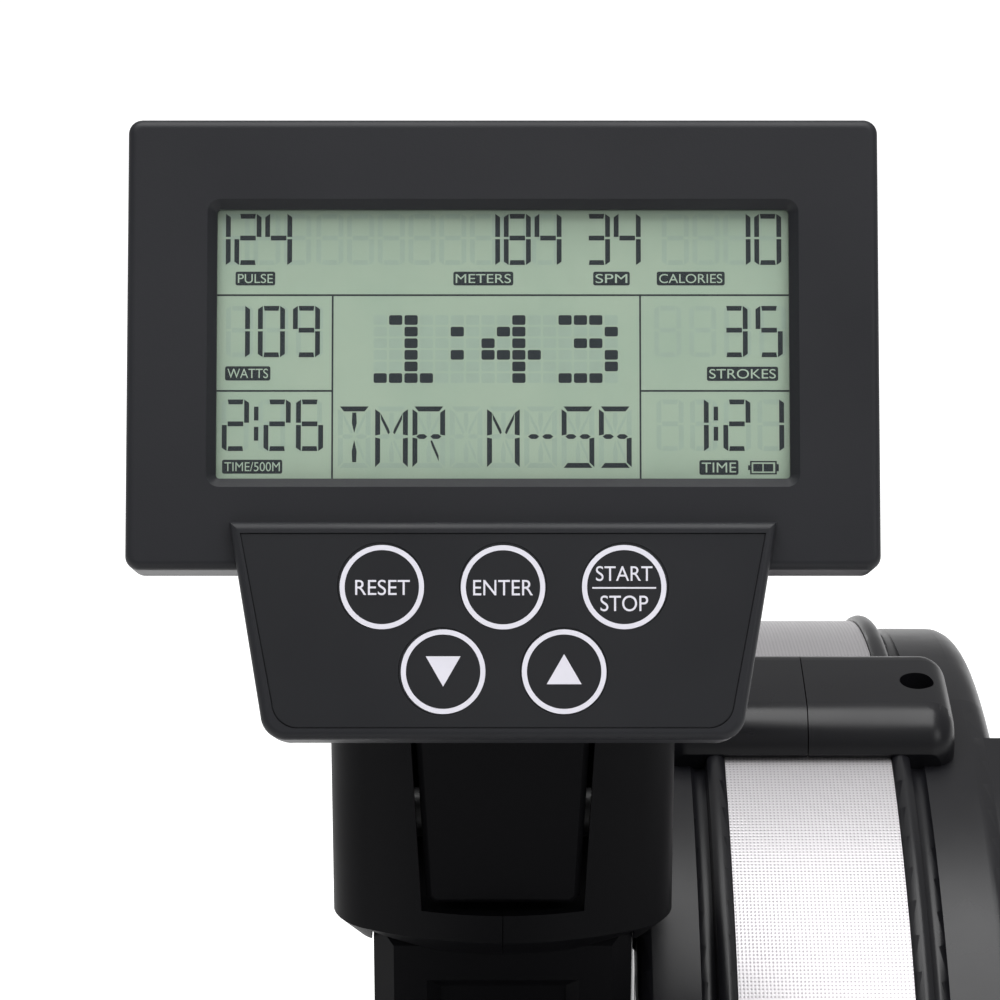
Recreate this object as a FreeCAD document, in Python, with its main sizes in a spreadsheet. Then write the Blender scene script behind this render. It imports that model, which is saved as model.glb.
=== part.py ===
"""An air rowing machine: a fan in a drum beside a central column, a console on a pivoting arm, a pull strap
with its handle, footrests, and a rolling seat on a rail that folds up for storage.

Millimetres. +X is to the rower's right, +Y points from the rail's rear end to the fan, +Z is up, and the
origin is on the floor, in the middle of the machine's length and width.
"""

import FreeCAD
import Part

import math
import os
import re

import Sketcher
from FreeCAD import Placement, Rotation, Vector

SIZES = {
    "whole machine": {
        "half_length": 1200,
        "floor_gap": 22,
        "foot_half": 240,
        "rear_foot_half": 200,
        "foot_cap": 25,
        "foot_depth": 60,
        "foot_height": 40,
        "foot_front_y": 1010,
        "foot_middle_y": 452,
        "foot_rear_y": -1120,
        "beam_half": 25,
        "beam_height": 80,
        "beam_wall": 3,
        "foot_wall": 2.5,
        "wheel_y": 1075,
        "wheel_z": 38,
        "beam_rear_y": 418,
        "beam_front_y": 1038,
        "footrest_y": 451,
        "footrest_z": 200,
        "footrest_radius": 13,
    },
    "drum and fan": {
        "axle_y": 948,
        "axle_z": 420,
        "axle_radius": 8.5,
        "axle_left_x": -31.5,
        "axle_right_x": 162,
        "outer_bearing_x": 148,
        "running_gap": 0.05,
        "bearing_radius": 20,
        "bearing_width": 12,
        "drum_x": 88,
        "drum_half_left": 51,
        "drum_half_right": 56,
        "corner_left": 4,
        "corner_right": 8,
        "band_radius": 250,
        "band_half": 24,
        "band_sheet": 1.2,
        "recess_x": 33,
        "recess_y": -17,
        "shoulder_radius": 247.5,
        "shell_wall": 2.5,
        "side_recess": 3.5,
        "hub_hole": 24,
        "grille_slots": 40,
        "bridge_half": 43,
        "bridge_radius": 262,
        "scale_inner": 184,
        "scale_outer": 246,
        "scale_face": 67,
        "lever_radius": 201,
        "blade_count": 24,
        "blade_radius": 228,
        "blade_half": 36,
    },
    "column and drive case": {
        "case_half": 34.8,
        "case_wall": 2.5,
        "plate_sheet": 5,
        "mast_front_y": 842,
        "mast_rear_y": 860,
        "cover_front_y": 817,
        "cover_depth": 11,
        "cover_low_z": 604,
        "cover_top_z": 661,
        "nose_y": 672,
        "strap_z": 575,
        "strap_width": 25,
        "strap_thick": 1.5,
        "guide_y": 716,
        "guide_radius": 12,
        "coil_radius": 42,
        "spool_radius": 52,
        "shroud_half": 45.6,
        "skirt_z": 654.5,
        "shroud_front_y": 808,
        "shroud_rear_y": 864,
        "shroud_low_z": 662,
        "shroud_top_z": 728,
        "shroud_wall": 3,
    },
    "console": {
        "screen_y": 809,
        "screen_z": 830,
        "console_tilt": -27.4,
        "screen_half_width": 94.2,
        "screen_half_height": 56.8,
        "window_half_width": 71.8,
        "window_low": -33.8,
        "window_high": 34.2,
        "bevel": 2.3,
        "front_wall": 4,
        "bezel_depth": 15,
        "body_depth": 30,
        "keypad_raise": 4.5,
        "keypad_top": -45.2,
        "keypad_bottom": -99.2,
        "keypad_top_half": 68,
        "keypad_bottom_half": 59,
        "keypad_rim": 2.8,
        "key_radius": 10.7,
        "key_gap": 0.15,
        "arm_pivot_y": 824,
        "arm_pivot_z": 692,
        "arm_front_y": 812,
        "arm_low_z": 670.5,
        "hinge_back": 42,
        "hinge_drop": 35,
    },
    "rail and seat": {
        "rail_half": 32,
        "rail_height": 90,
        "rail_top_z": 372,
        "rail_web": 20,
        "rail_rear_y": -1180,
        "rail_front_y": 445,
        "rail_wall": 3,
        "fold_y": 430,
        "fold_z": 350,
        "fold_pin_radius": 8,
        "track_sheet": 1,
        "seat_y": -100,
        "roller_radius": 22,
        "roller_reach": 85,
        "under_reach": 62,
        "carriage_half": 48,
        "carriage_sheet": 4,
        "carriage_top_z": 424,
    },
    "footrests and handle": {
        "foot_x": 134,
        "plate_y": 501,
        "plate_z": 296,
        "plate_tilt": 50,
        "plate_half": 58,
        "plate_heel": -150,
        "plate_toe": 165,
        "plate_thick": 8,
        "foot_strap_width": 38,
        "handle_y": 618,
        "handle_radius": 11,
        "grip_radius": 17,
        "handle_bend": 10,
    },
}

WORDS = {alias for group in SIZES.values() for alias in group}
doc = FreeCAD.newDocument("rowing_machine")
sheet = doc.addObject("Spreadsheet::Sheet", "sizes")
kept = []


def fill_sheet():
    """Writes every driving dimension to the spreadsheet, one row each, under its group's name."""
    row = 1
    for group, cells in SIZES.items():
        sheet.set(f"A{row}", group)
        row += 1
        for alias, value in cells.items():
            sheet.set(f"A{row}", alias)
            sheet.set(f"B{row}", str(value))
            sheet.setAlias(f"B{row}", alias)
            row += 1
    doc.recompute()


def ref(text):
    """The same formula with each alias pointing at the spreadsheet."""
    return re.sub(r"[a-z_]+", lambda w: f"sizes.{w.group()}" if w.group() in WORDS else w.group(), str(text))


def number(text):
    return float(sheet.evalExpression(ref(text)))


def numbers(*texts):
    return [number(t) for t in texts]


def spot(x, y, z, angle=0, axis=(1, 0, 0)):
    """A placement at a point given by formulas, turned about an axis."""
    return Placement(Vector(*numbers(x, y, z)), Rotation(Vector(*axis), number(angle)))


def keep(obj, label):
    """Names a finished sub-part. Its label becomes its file's name."""
    obj.Label = label
    kept.append(obj)
    return obj


def group(label, *members):
    """Several separate solids of one kind in one node."""
    compound = doc.addObject("Part::Compound", f"{label}_set")
    compound.Links = list(members)
    return keep(compound, label)


# ---- Part primitives and booleans ---------------------------------------------------------------------


def box(name, low, high):
    """A box between two corners, each of three formulas."""
    b = doc.addObject("Part::Box", name)
    for size, axis, a, z in zip(("Length", "Width", "Height"), "xyz", low, high):
        b.setExpression(size, ref(f"({z}) - ({a})"))
        b.setExpression(f"Placement.Base.{axis}", ref(a))
    return b


TURN = {"x": Rotation(Vector(0, 1, 0), 90), "y": Rotation(Vector(1, 0, 0), -90), "z": Rotation()}


def cylinder(name, axis, start, radius, length):
    """A cylinder from a start point along +axis."""
    c = doc.addObject("Part::Cylinder", name)
    c.Placement = Placement(Vector(), TURN[axis])
    c.setExpression("Radius", ref(radius))
    c.setExpression("Height", ref(length))
    for letter, text in zip("xyz", start):
        c.setExpression(f"Placement.Base.{letter}", ref(text))
    return c


def fuse(name, *members):
    f = doc.addObject("Part::MultiFuse", name)
    f.Shapes = list(members)
    return f


def cut(name, base, *tools):
    c = doc.addObject("Part::Cut", name)
    c.Base = base
    c.Tool = tools[0] if len(tools) == 1 else fuse(f"{name}_tools", *tools)
    return c


def ring(name, axis, start, outer, inner, length):
    """A tube or washer."""
    return cut(
        name,
        cylinder(f"{name}_outside", axis, start, outer, length),
        cylinder(f"{name}_inside", axis, start, inner, length),
    )


def rounded(name, base, radius, pick):
    """The base with the edges that pick accepts rounded."""
    doc.recompute()
    f = doc.addObject("Part::Fillet", name)
    f.Base = base
    r = number(radius)
    f.Edges = [(i, r, r) for i, e in enumerate(base.Shape.Edges, 1) if pick(e)]
    return f


def along(letter):
    """Accepts straight edges that run along an axis."""

    def pick(edge):
        a, b = edge.Vertexes[0].Point, edge.Vertexes[-1].Point
        d = b - a
        return edge.Curve.TypeId == "Part::GeomLine" and abs(getattr(d, letter)) > 0.999 * d.Length

    return pick


def at(letter, place, near=0.01):
    """Accepts edges that lie in the plane where a coordinate has a value."""

    def pick(edge):
        lo, hi = (getattr(edge.BoundBox, letter.upper() + end) for end in ("Min", "Max"))
        return abs(lo - number(place)) < near and abs(hi - number(place)) < near

    return pick


# ---- PartDesign bodies --------------------------------------------------------------------------------


class Piece:
    """One PartDesign body, built feature by feature in its own coordinates, then placed.

    A profile is drawn on an origin plane: "XY" in x, y, "XZ" in x, z and "YZ" in y, z. It is a list of
    corners (u, v), or (u, v, radius) where the side that ends at that corner is an arc; a negative radius
    bulges to the right of the way round. A circle is ("circle", u, v, radius).
    """

    def __init__(self, label, placement=None):
        self.body = doc.addObject("PartDesign::Body", f"{label}_body")
        self.label = label
        self.placement = placement or Placement()

    def origin(self, role):
        return next(f for f in self.body.Origin.OriginFeatures if f.Role == role)

    def sketch(self, plane, profiles, offset="0"):
        s = self.body.newObject("Sketcher::SketchObject", f"{self.label}_sketch")
        s.AttachmentSupport = (self.origin(f"{plane}_Plane"), [""])
        s.MapMode = "FlatFace"
        sign = "-" if plane == "XZ" else ""
        s.setExpression("AttachmentOffset.Base.z", ref(f"{sign}({offset})"))
        for profile in profiles:
            if profile[0] == "circle":
                draw_circle(s, *profile[1:])
            else:
                draw_outline(s, profile)
        doc.recompute()
        return s

    def feature(self, kind, sketch, **values):
        before = self.volume()
        f = self.body.newObject(f"PartDesign::{kind}", f"{self.label}_{kind.lower()}")
        f.Profile = sketch
        for name, text in values.items():
            f.setExpression(name, ref(text))
        doc.recompute()
        sketch.Visibility = False
        grew = self.volume() - before
        if grew < 0.01 and kind in ("Pad", "Revolution") or grew > -0.01 and kind in ("Pocket", "Groove"):
            raise ValueError(f"{self.label}: a {kind} changed the volume by {grew:.3f}")
        return f

    def volume(self):
        return self.body.Shape.Volume if self.body.Tip else 0.0

    def pad(self, plane, profiles, start, end):
        """Material between two heights on the plane's axis."""
        base = end if plane == "XZ" else start
        return self.feature("Pad", self.sketch(plane, profiles, base), Length=f"({end}) - ({start})")

    def pocket(self, plane, profiles, start, end):
        """A cut between two heights on the plane's axis."""
        base = start if plane == "XZ" else end
        return self.feature("Pocket", self.sketch(plane, profiles, base), Length=f"({end}) - ({start})")

    def revolve(self, profiles, kind="Revolution", angle="360"):
        """Turns an XZ profile about the body's X axis."""
        before = self.volume()
        s = self.sketch("XZ", profiles)
        f = self.body.newObject(f"PartDesign::{kind}", f"{self.label}_{kind.lower()}")
        f.Profile = s
        f.ReferenceAxis = (self.origin("X_Axis"), [""])
        f.setExpression("Angle", ref(angle))
        doc.recompute()
        if abs(self.volume() - before) < 0.01:
            raise ValueError(f"{self.label}: the {kind} changed nothing")
        return f

    def polar(self, feature, count):
        """Repeats a feature round the body's X axis."""
        p = self.body.newObject("PartDesign::PolarPattern", f"{self.label}_pattern")
        p.Originals = [feature]
        p.Axis = (self.origin("X_Axis"), [""])
        p.Angle = 360
        p.setExpression("Occurrences", ref(count))
        self.body.Tip = p
        doc.recompute()
        return p

    def mirror(self, features, role="YZ_Plane"):
        m = self.body.newObject("PartDesign::Mirrored", f"{self.label}_mirror")
        m.Originals = features
        m.MirrorPlane = (self.origin(role), [""])
        self.body.Tip = m
        doc.recompute()
        return m

    def dress(self, kind, pick, size):
        """A fillet or chamfer on the edges that pick accepts."""
        tip = self.body.Tip
        edges = [f"Edge{i}" for i, e in enumerate(tip.Shape.Edges, 1) if pick(e)]
        f = self.body.newObject(f"PartDesign::{kind}", f"{self.label}_{kind.lower()}")
        f.Base = (tip, edges)
        f.setExpression("Radius" if kind == "Fillet" else "Size", ref(size))
        doc.recompute()
        if "Invalid" in f.State:
            raise ValueError(f"{self.label}: {kind} of {size} failed on {len(edges)} edges")
        return f

    def shell(self, pick_face, wall):
        """Hollows the body, leaving the faces that pick_face accepts open."""
        tip = self.body.Tip
        faces = [f"Face{i}" for i, s in enumerate(tip.Shape.Faces, 1) if pick_face(s)]
        f = self.body.newObject("PartDesign::Thickness", f"{self.label}_thickness")
        f.Base = (tip, faces)
        f.Reversed = True
        f.setExpression("Value", ref(wall))
        doc.recompute()
        return f

    def done(self):
        self.body.Placement = self.placement
        return keep(self.body, self.label)


def draw_circle(s, u, v, radius):
    x, y, r = numbers(u, v, radius)
    i = s.addGeometry(Part.Circle(Vector(x, y, 0), Vector(0, 0, 1), r), False)
    held = (
        (Sketcher.Constraint("DistanceX", -1, 1, i, 3, x), u),
        (Sketcher.Constraint("DistanceY", -1, 1, i, 3, y), v),
        (Sketcher.Constraint("Radius", i, r), radius),
    )
    for constraint, text in held:
        s.setExpression(f"Constraints[{s.addConstraint(constraint)}]", ref(text))


def draw_outline(s, corners):
    """A closed outline whose corners, and arc radii, are held by formulas."""
    spots = [numbers(c[0], c[1]) for c in corners]
    first = s.GeometryCount
    ends = []
    for k, corner in enumerate(corners):
        a, b = spots[k - 1], spots[k]
        if len(corner) == 2:
            s.addGeometry(Part.LineSegment(Vector(*a, 0), Vector(*b, 0)), False)
            ends.append((1, 2))
            continue
        r = number(corner[2])
        dx, dy = b[0] - a[0], b[1] - a[1]
        chord = math.hypot(dx, dy)
        side = math.copysign(1, r)
        rise = math.sqrt(max(r * r - chord * chord / 4, 0))
        cx = (a[0] + b[0]) / 2 - side * rise * -dy / chord
        cy = (a[1] + b[1]) / 2 - side * rise * dx / chord
        start, end = (math.atan2(p[1] - cy, p[0] - cx) for p in (a, b))
        if side > 0:
            start, end = end, start
        circle = Part.Circle(Vector(cx, cy, 0), Vector(0, 0, 1), abs(r))
        s.addGeometry(Part.ArcOfCircle(circle, start, end), False)
        ends.append((2, 1) if side > 0 else (1, 2))
    count = len(corners)
    for k in range(count):
        after = (k + 1) % count
        s.addConstraint(Sketcher.Constraint("Coincident", first + k, ends[k][1], first + after,
                                            ends[after][0]))
    for k, corner in enumerate(corners):
        for kind, value, text in (("DistanceX", spots[k][0], corner[0]),
                                  ("DistanceY", spots[k][1], corner[1])):
            index = s.addConstraint(Sketcher.Constraint(kind, -1, 1, first + k, ends[k][1], value))
            s.setExpression(f"Constraints[{index}]", ref(text))
        if len(corner) == 3:
            index = s.addConstraint(Sketcher.Constraint("Radius", first + k, abs(number(corner[2]))))
            s.setExpression(f"Constraints[{index}]", ref(f"abs({corner[2]})"))


def rectangle(low, high):
    """A profile between two corners."""
    (a, b), (c, d) = low, high
    return [(a, b), (c, b), (c, d), (a, d)]


# ---- base frame ---------------------------------------------------------------------------------------


def hollow_box(name, low, high, wall, radius, pick):
    """A box-section tube with closed ends and rounded edges."""
    outside = rounded(f"{name}_outside", box(f"{name}_block", low, high), radius, pick)
    inside = box(f"{name}_inside", [f"{v} + {wall}" for v in low], [f"{v} - {wall}" for v in high])
    return cut(f"{name}_tube", outside, inside)


def foot_tube(name, half, y):
    low = (f"-{half}", f"{y} - foot_depth / 2", "floor_gap")
    high = (half, f"{y} + foot_depth / 2", "floor_gap + foot_height")
    return hollow_box(name, low, high, "foot_wall", "8", along("x"))


def foot_caps(half, y):
    """The two rubber end caps of a foot tube, which stand on the floor."""
    caps = []
    for side, sign in (("left", "-"), ("right", "")):
        a, b = (f"{sign}{half}", f"{sign}({half} + foot_cap)")
        x = (b, a) if sign else (a, b)
        low = (x[0], f"{y} - foot_depth / 2 - 3", "0")
        high = (x[1], f"{y} + foot_depth / 2 + 3", "floor_gap + foot_height + 3")
        block = box(f"cap_block_{side}", low, high)
        caps.append(rounded(f"cap_{side}", block, "7", along("x")))
    return caps


def base_frame():
    """The welded lower frame: a beam on two cross feet, and the riser that carries the rail."""
    front = foot_tube("front_foot", "foot_half", "foot_front_y")
    ears = [
        box(
            f"wheel_ear_{n}",
            (x, "foot_front_y + foot_depth / 2 - 2", "24"),
            (f"{x} + 4", "wheel_y + 14", "54"),
        )
        for n, x in enumerate(("-223", "-193", "189", "219"))
    ]
    ears = [rounded(f"wheel_ear_round_{n}", e, "12", lambda g: along("x")(g) and g.BoundBox.YMin > 1060)
            for n, e in enumerate(ears)]
    pins = [
        cylinder(f"wheel_pin_{n}", "x", (x, "wheel_y", "wheel_z"), "4", "34")
        for n, x in enumerate(("-223", "189"))
    ]
    feet = [fuse("front_foot_weldment", front, *ears, *pins),
            foot_tube("middle_foot", "foot_half", "foot_middle_y")]
    group("frame_feet", *feet)
    caps = foot_caps("foot_half", "foot_front_y") + foot_caps("foot_half", "foot_middle_y")
    group("frame_foot_caps", *caps)
    low_z, top_z = "floor_gap + foot_height", "floor_gap + foot_height + beam_height"
    tube = hollow_box("beam", ("-beam_half", "beam_rear_y", low_z), ("beam_half", "beam_front_y", top_z),
                      "beam_wall", "6", along("y"))
    riser = hollow_box("riser", ("-rail_half - 2", "beam_rear_y", top_z),
                       ("rail_half + 2", "beam_rear_y + 66", "278"), "beam_wall", "5", along("z"))
    rest = box("rail_rest", ("-24", "beam_rear_y + 2", "278"), ("24", "beam_rear_y + 9", "281.7"))
    outline = [
        ("beam_rear_y - 16", "372"),
        ("beam_rear_y", "180"),
        ("beam_rear_y + 66", "180"),
        ("beam_rear_y + 66", "360"),
        ("beam_rear_y + 44", "382"),
        ("beam_rear_y - 6", "382"),
    ]
    cheeks = []
    walls = (("left", "-rail_half - 8", "-rail_half - 2"), ("right", "rail_half + 2", "rail_half + 8"))
    for side, start, end in walls:
        cheek = Piece(f"fold_cheek_{side}")
        cheek.pad("YZ", [outline], start, end)
        cheek.dress("Fillet", lambda e: along("x")(e) and e.BoundBox.ZMin > 350, "7")
        cheeks.append(cheek.body)
    whole = fuse("base_weldment", tube, riser, rest, *cheeks, *outer_support())
    bores = [
        cylinder("pivot_bore", "x", ("-50", "fold_y", "fold_z"), "fold_pin_radius", "100"),
        cylinder("footrest_bore", "x", ("-50", "footrest_y", "footrest_z"), "footrest_radius", "100"),
        cylinder("knob_bore", "x", ("33", "beam_rear_y + 10", "300"), "5 + running_gap", "12"),
        cylinder("support_bore", "x", ("outer_bearing_x - 1", "axle_y", "axle_z"), "bearing_radius", "12"),
    ]
    keep(cut("base_bored", whole, *bores), "base_frame")


def outer_support():
    """The arm from the beam that passes under the drum and carries the axle's outer bearing."""
    arm = hollow_box("support_arm", ("beam_half - 1", "axle_y - 30", "64"),
                     ("outer_bearing_x + 7", "axle_y + 30", "98"), "beam_wall", "5", along("x"))
    post = Piece("support_post")
    post.pad("YZ", [[("axle_y - 30", "70"), ("axle_y + 30", "70"), ("axle_y + 26", "axle_z"),
                     ("axle_y - 26", "axle_z", "-26.2")]], "outer_bearing_x + 1", "outer_bearing_x + 7")
    return arm, post.body


def fold_pin():
    """The hinge pin of the rail, with its heads."""
    start = ("-rail_half - 9", "fold_y", "fold_z")
    shaft = cylinder("fold_shaft", "x", start, "fold_pin_radius", "2 * rail_half + 18")
    heads = [
        cylinder("fold_head_left", "x", ("-rail_half - 14", "fold_y", "fold_z"), "12", "6"),
        cylinder("fold_head_right", "x", ("rail_half + 8", "fold_y", "fold_z"), "12", "6"),
    ]
    return fuse("fold_pin_set", shaft, *heads)


def fold_knob():
    """The star knob on the right cheek that clamps the rail, down or folded up."""
    knob = Piece("fold_knob", spot("rail_half + 8.3", "beam_rear_y + 10", "300"))
    knob.revolve([[("-7", "0"), ("-7", "5"), ("0", "5"), ("0", "12"), ("8", "12"), ("10", "15"), ("30", "15"),
                   ("36", "9"), ("36", "0")]])
    lobe = knob.pad("YZ", [[("-5", "12"), ("5", "12"), ("5", "21"), ("-5", "21", "-5.2")]], "12", "29")
    knob.polar(lobe, "6")
    knob.done()


# ---- rail and seat ------------------------------------------------------------------------------------


def rail():
    """The aluminium rail: a grooved extrusion with its track, stops, end cap and rear leg."""
    top, low = "rail_top_z", "rail_top_z - rail_height"
    half = [
        ("rail_half", low),
        ("rail_half", f"{low} + 14"),
        ("rail_web", f"{low} + 18"),
        ("rail_web", f"{top} - 12"),
        ("rail_half", f"{top} - 12"),
        ("rail_half", top),
    ]
    beam = Piece("rail_beam")
    outline = half + [(f"-{u}", v) for u, v in reversed(half)]
    beam.pad("XZ", [outline], "rail_rear_y", "rail_front_y")
    cavity = rectangle(("rail_wall - rail_web", f"{low} + rail_wall"),
                       ("rail_web - rail_wall", f"{top} - rail_wall - 1"))
    beam.pocket("XZ", [cavity], "rail_rear_y", "rail_front_y")
    pin_hole = ("circle", "fold_y", "fold_z", "fold_pin_radius + running_gap")
    beam.pocket("YZ", [pin_hole], "-rail_half", "rail_half")
    nose = [("fold_y", f"{low} - 1"), ("rail_front_y + 1", f"{low} - 1"), ("rail_front_y + 1", f"{low} + 19")]
    beam.pocket("YZ", [nose], "-rail_half", "rail_half")
    beam.dress("Fillet", lambda e: along("y")(e) and abs(e.BoundBox.XMax) > 31.9, "1.5")
    beam.done()
    keep(
        box(
            "track_strip",
            ("-rail_half + 6", "rail_rear_y + 10", top),
            ("rail_half - 6", "rail_front_y - 60", f"{top} + track_sheet"),
        ),
        "rail_track",
    )
    stops = []
    for name, y in (("front", "330"), ("rear", "rail_rear_y + 40")):
        top_z = f"{top} + track_sheet"
        block = box(f"stop_{name}", ("-20", y, top_z), ("20", f"{y} + 22", f"{top_z} + 26"))
        upper = lambda e, z=top_z: e.BoundBox.ZMin > number(z) + 20
        stops.append(rounded(f"stop_{name}_round", block, "5", upper))
    group("seat_stops", *stops)
    cap = rounded(
        "end_cap_block",
        box("end_cap_box", ("-rail_half - 3", "-half_length", f"{low} - 3"),
            ("rail_half + 3", "rail_rear_y", f"{top} + 5")),
        "6",
        at("y", "-half_length"),
    )
    spigot_z = (f"{low} + rail_wall", f"{top} - rail_wall - 1")
    spigot = box(
        "end_cap_spigot",
        ("rail_wall - rail_web", "rail_rear_y", spigot_z[0]),
        ("rail_web - rail_wall", "rail_rear_y + 25", spigot_z[1]),
    )
    keep(fuse("end_cap_whole", cap, spigot), "rail_end_cap")
    leg = hollow_box("leg", ("-20", "foot_rear_y - 25", "floor_gap + foot_height"),
                     ("20", "foot_rear_y + 25", f"{low} - 6"), "foot_wall", "5", along("z"))
    flange = rounded(
        "leg_flange",
        box("leg_flange_block", ("-rail_half", "foot_rear_y - 55", f"{low} - 6"),
            ("rail_half", "foot_rear_y + 55", low)),
        "8",
        along("z"),
    )
    tube = foot_tube("rear_foot", "rear_foot_half", "foot_rear_y")
    keep(fuse("rear_leg_weldment", leg, flange, tube), "rear_leg")
    group("rear_foot_caps", *foot_caps("rear_foot_half", "foot_rear_y"))


def seat():
    """The seat: a carriage rolling on the track and gliding under the flange, with a pan and a pad."""
    top = "carriage_top_z"
    reach = "roller_reach + 24"
    channel = Piece("seat_carriage", spot("0", "seat_y", "0"))
    sides = [
        ("-carriage_half", f"{top} - carriage_sheet"),
        ("-carriage_half", "342"),
        ("-carriage_half + carriage_sheet", "342"),
        ("-carriage_half + carriage_sheet", f"{top} - carriage_sheet"),
        ("carriage_half - carriage_sheet", f"{top} - carriage_sheet"),
        ("carriage_half - carriage_sheet", "342"),
        ("carriage_half", "342"),
        ("carriage_half", f"{top} - carriage_sheet"),
        ("carriage_half + 42", f"{top} - carriage_sheet"),
        ("carriage_half + 42", top),
        ("-carriage_half - 42", top),
        ("-carriage_half - 42", f"{top} - carriage_sheet"),
    ]
    channel.pad("XZ", [sides], f"-({reach})", reach)
    channel.pocket("YZ", [[("-30", "338"), ("30", "338"), ("22", "366"), ("-22", "366")]], "-60", "60")
    bore_z = "rail_top_z + track_sheet + roller_radius + 0.1"
    channel.pocket("YZ", [("circle", f"{s}roller_reach", bore_z, "5") for s in ("-", "")], "-60", "60")
    fixed = [channel.body]
    channel.body.Placement = channel.placement
    for name, sign in (("front", ""), ("rear", "-")):
        y = f"seat_y + ({sign}roller_reach)"
        z = "rail_top_z + track_sheet + roller_radius + 0.1"
        fixed.append(cylinder(f"axle_{name}", "x", ("-carriage_half - 3", y, z), "5",
                              "2 * carriage_half + 6"))
        fixed += [cylinder(f"nut_{name}_{n}", "x", (x, y, z), "9", "5") for n, x in
                  enumerate(("-carriage_half - 5", "carriage_half"))]
        rollers = [
            ring(f"roller_{name}_{n}", "x", (x, y, z), "roller_radius", "5 + running_gap", "15")
            for n, x in enumerate(("-25", "10"))
        ]
        rollers = [rounded(f"roller_{name}_{n}_round", r, "2", lambda e: e.BoundBox.YLength > 40)
                   for n, r in enumerate(rollers)]
        group(f"seat_rollers_{name}", *rollers)
    keep(fuse("carriage_set", *fixed), "seat_carriage")
    glides = []
    glide_top = "rail_top_z - 12.3"
    for n, (sx, sy) in enumerate((("-", "-"), ("-", ""), ("", "-"), ("", ""))):
        y = f"seat_y + ({sy}under_reach)"
        x = ("-carriage_half + carriage_sheet", "-22.5") if sx else ("22.5", "carriage_half - carriage_sheet")
        block = box(f"glide_{n}", (x[0], f"{y} - 18", f"{glide_top} - 14"), (x[1], f"{y} + 18", glide_top))
        glides.append(rounded(f"glide_{n}_round", block, "3", along("x")))
    group("rail_glides", *glides)
    pan = Piece("seat_pan", spot("0", "seat_y", "0"))
    pan.pad("XY", [[("-140", "-104"), ("140", "-104"), ("146", "96"), ("-146", "96")]], top, f"{top} + 10")
    pan.dress("Fillet", along("z"), "38")
    pan.done()
    pad = Piece("seat_pad", spot("0", "seat_y", "0"))
    outline = [("-145", "-112"), ("145", "-112"), ("152", "102"), ("-152", "102")]
    pad.pad("XY", [outline], f"{top} + 10.1", f"{top} + 56")
    pad.dress("Fillet", along("z"), "44")
    pad.dress("Fillet", at("z", f"{top} + 56"), "18")
    pad.done()


# ---- footrests ----------------------------------------------------------------------------------------


def footrests():
    """The cross bar through the riser, and on each side a foot plate, a sliding heel cup and a strap."""
    start = ("-foot_x - 60", "footrest_y", "footrest_z")
    welded = [cylinder("footrest_tube", "x", start, "footrest_radius", "2 * foot_x + 120")]
    plates, straps = [], []
    bore_y, bore_z = bar_in_plate()
    for side, sign in (("left", "-"), ("right", "")):
        # In the plate's own coordinates y runs up the plate from heel to toe and z stands off its face.
        place = spot(f"{sign}foot_x", "plate_y", "plate_z", "plate_tilt")
        plate = Piece(f"foot_plate_{side}", place)
        outline = rectangle(("-plate_half", "plate_heel"), ("plate_half", "plate_toe"))
        plate.pad("XY", [outline], "-plate_thick", "0")
        plate.dress("Fillet", along("z"), "22")
        rim = rectangle(("-plate_half", "-40"), ("-plate_half + 5", "110"))
        other = rectangle(("plate_half - 5", "-40"), ("plate_half", "110"))
        plate.pad("XY", [rim, other], "-2", "16")
        slots = [rectangle((a, "6 - foot_strap_width / 2"), (b, "10 + foot_strap_width / 2"))
                 for a, b in (("-plate_half + 8", "-plate_half + 14"), ("plate_half - 14", "plate_half - 8"))]
        plate.pocket("XY", slots, "-plate_thick", "0")
        treads = [rectangle(("-34", y), ("34", f"{y} + 4")) for y in ("64", "78", "92", "106", "120", "134")]
        plate.pocket("XY", treads, "-2", "0")
        plate.pocket("XY", [rectangle(("-4", "-81"), ("4", "3"))], "-plate_thick", "0")
        plate.body.Placement = place
        plates.append(plate.body)
        lug = Piece(f"plate_bracket_{side}", place)
        for x in ("-30", "18"):
            web = [("-150", "-8"), ("70", "-8"), ("70", "-14"), ("-70", f"{bore_z} - 17"),
                   ("-140", f"{bore_z} - 17")]
            lug.pad("YZ", [web], x, f"{x} + 12")
        lug.body.Placement = place
        welded.append(lug.body)
        cup = Piece(f"heel_cup_{side}", place)
        floor = [("-40", "-8"), ("-40", "-60"), ("-46", "-60"), ("-46", "-100"), ("-18", "-128", "-28"),
                 ("18", "-128"), ("46", "-100", "-28"), ("46", "-60"), ("40", "-60"), ("40", "-8")]
        cup.pad("XY", [floor], "0.3", "4.3")
        wall = [("-46", "-60"), ("-46", "-100"), ("-18", "-128", "-28"), ("18", "-128"),
                ("46", "-100", "-28"),
                ("46", "-60"), ("42", "-60"), ("42", "-100"), ("18", "-124", "24"), ("-18", "-124"),
                ("-42", "-100", "24"), ("-42", "-60")]
        cup.pad("XY", [wall], "3", "44")
        cup.pad("XY", [rectangle(("-3.4", "-48"), ("3.4", "-30"))], "-plate_thick - 1", "1")
        cup.done()
        arch = [("-plate_half + 13", "-6"), ("-plate_half + 14", "30"), ("-22", "76", "60"),
                ("22", "76", "80"),
                ("plate_half - 14", "30", "60"), ("plate_half - 13", "-6"), ("plate_half - 10.5", "-6"),
                ("plate_half - 11", "30"), ("23", "79", "-63"), ("-23", "79", "-83"),
                ("-plate_half + 11", "30", "-63"), ("-plate_half + 10.5", "-6")]
        strap = Piece(f"foot_strap_{side}", place)
        strap.pad("XZ", [arch], "8 - foot_strap_width / 2", "8 + foot_strap_width / 2")
        strap.body.Placement = place
        straps.append(strap.body)
    keep(fuse("footrest_weldment", *welded), "footrest_bar")
    group("foot_plates", *plates)
    group("foot_straps", *straps)


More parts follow.
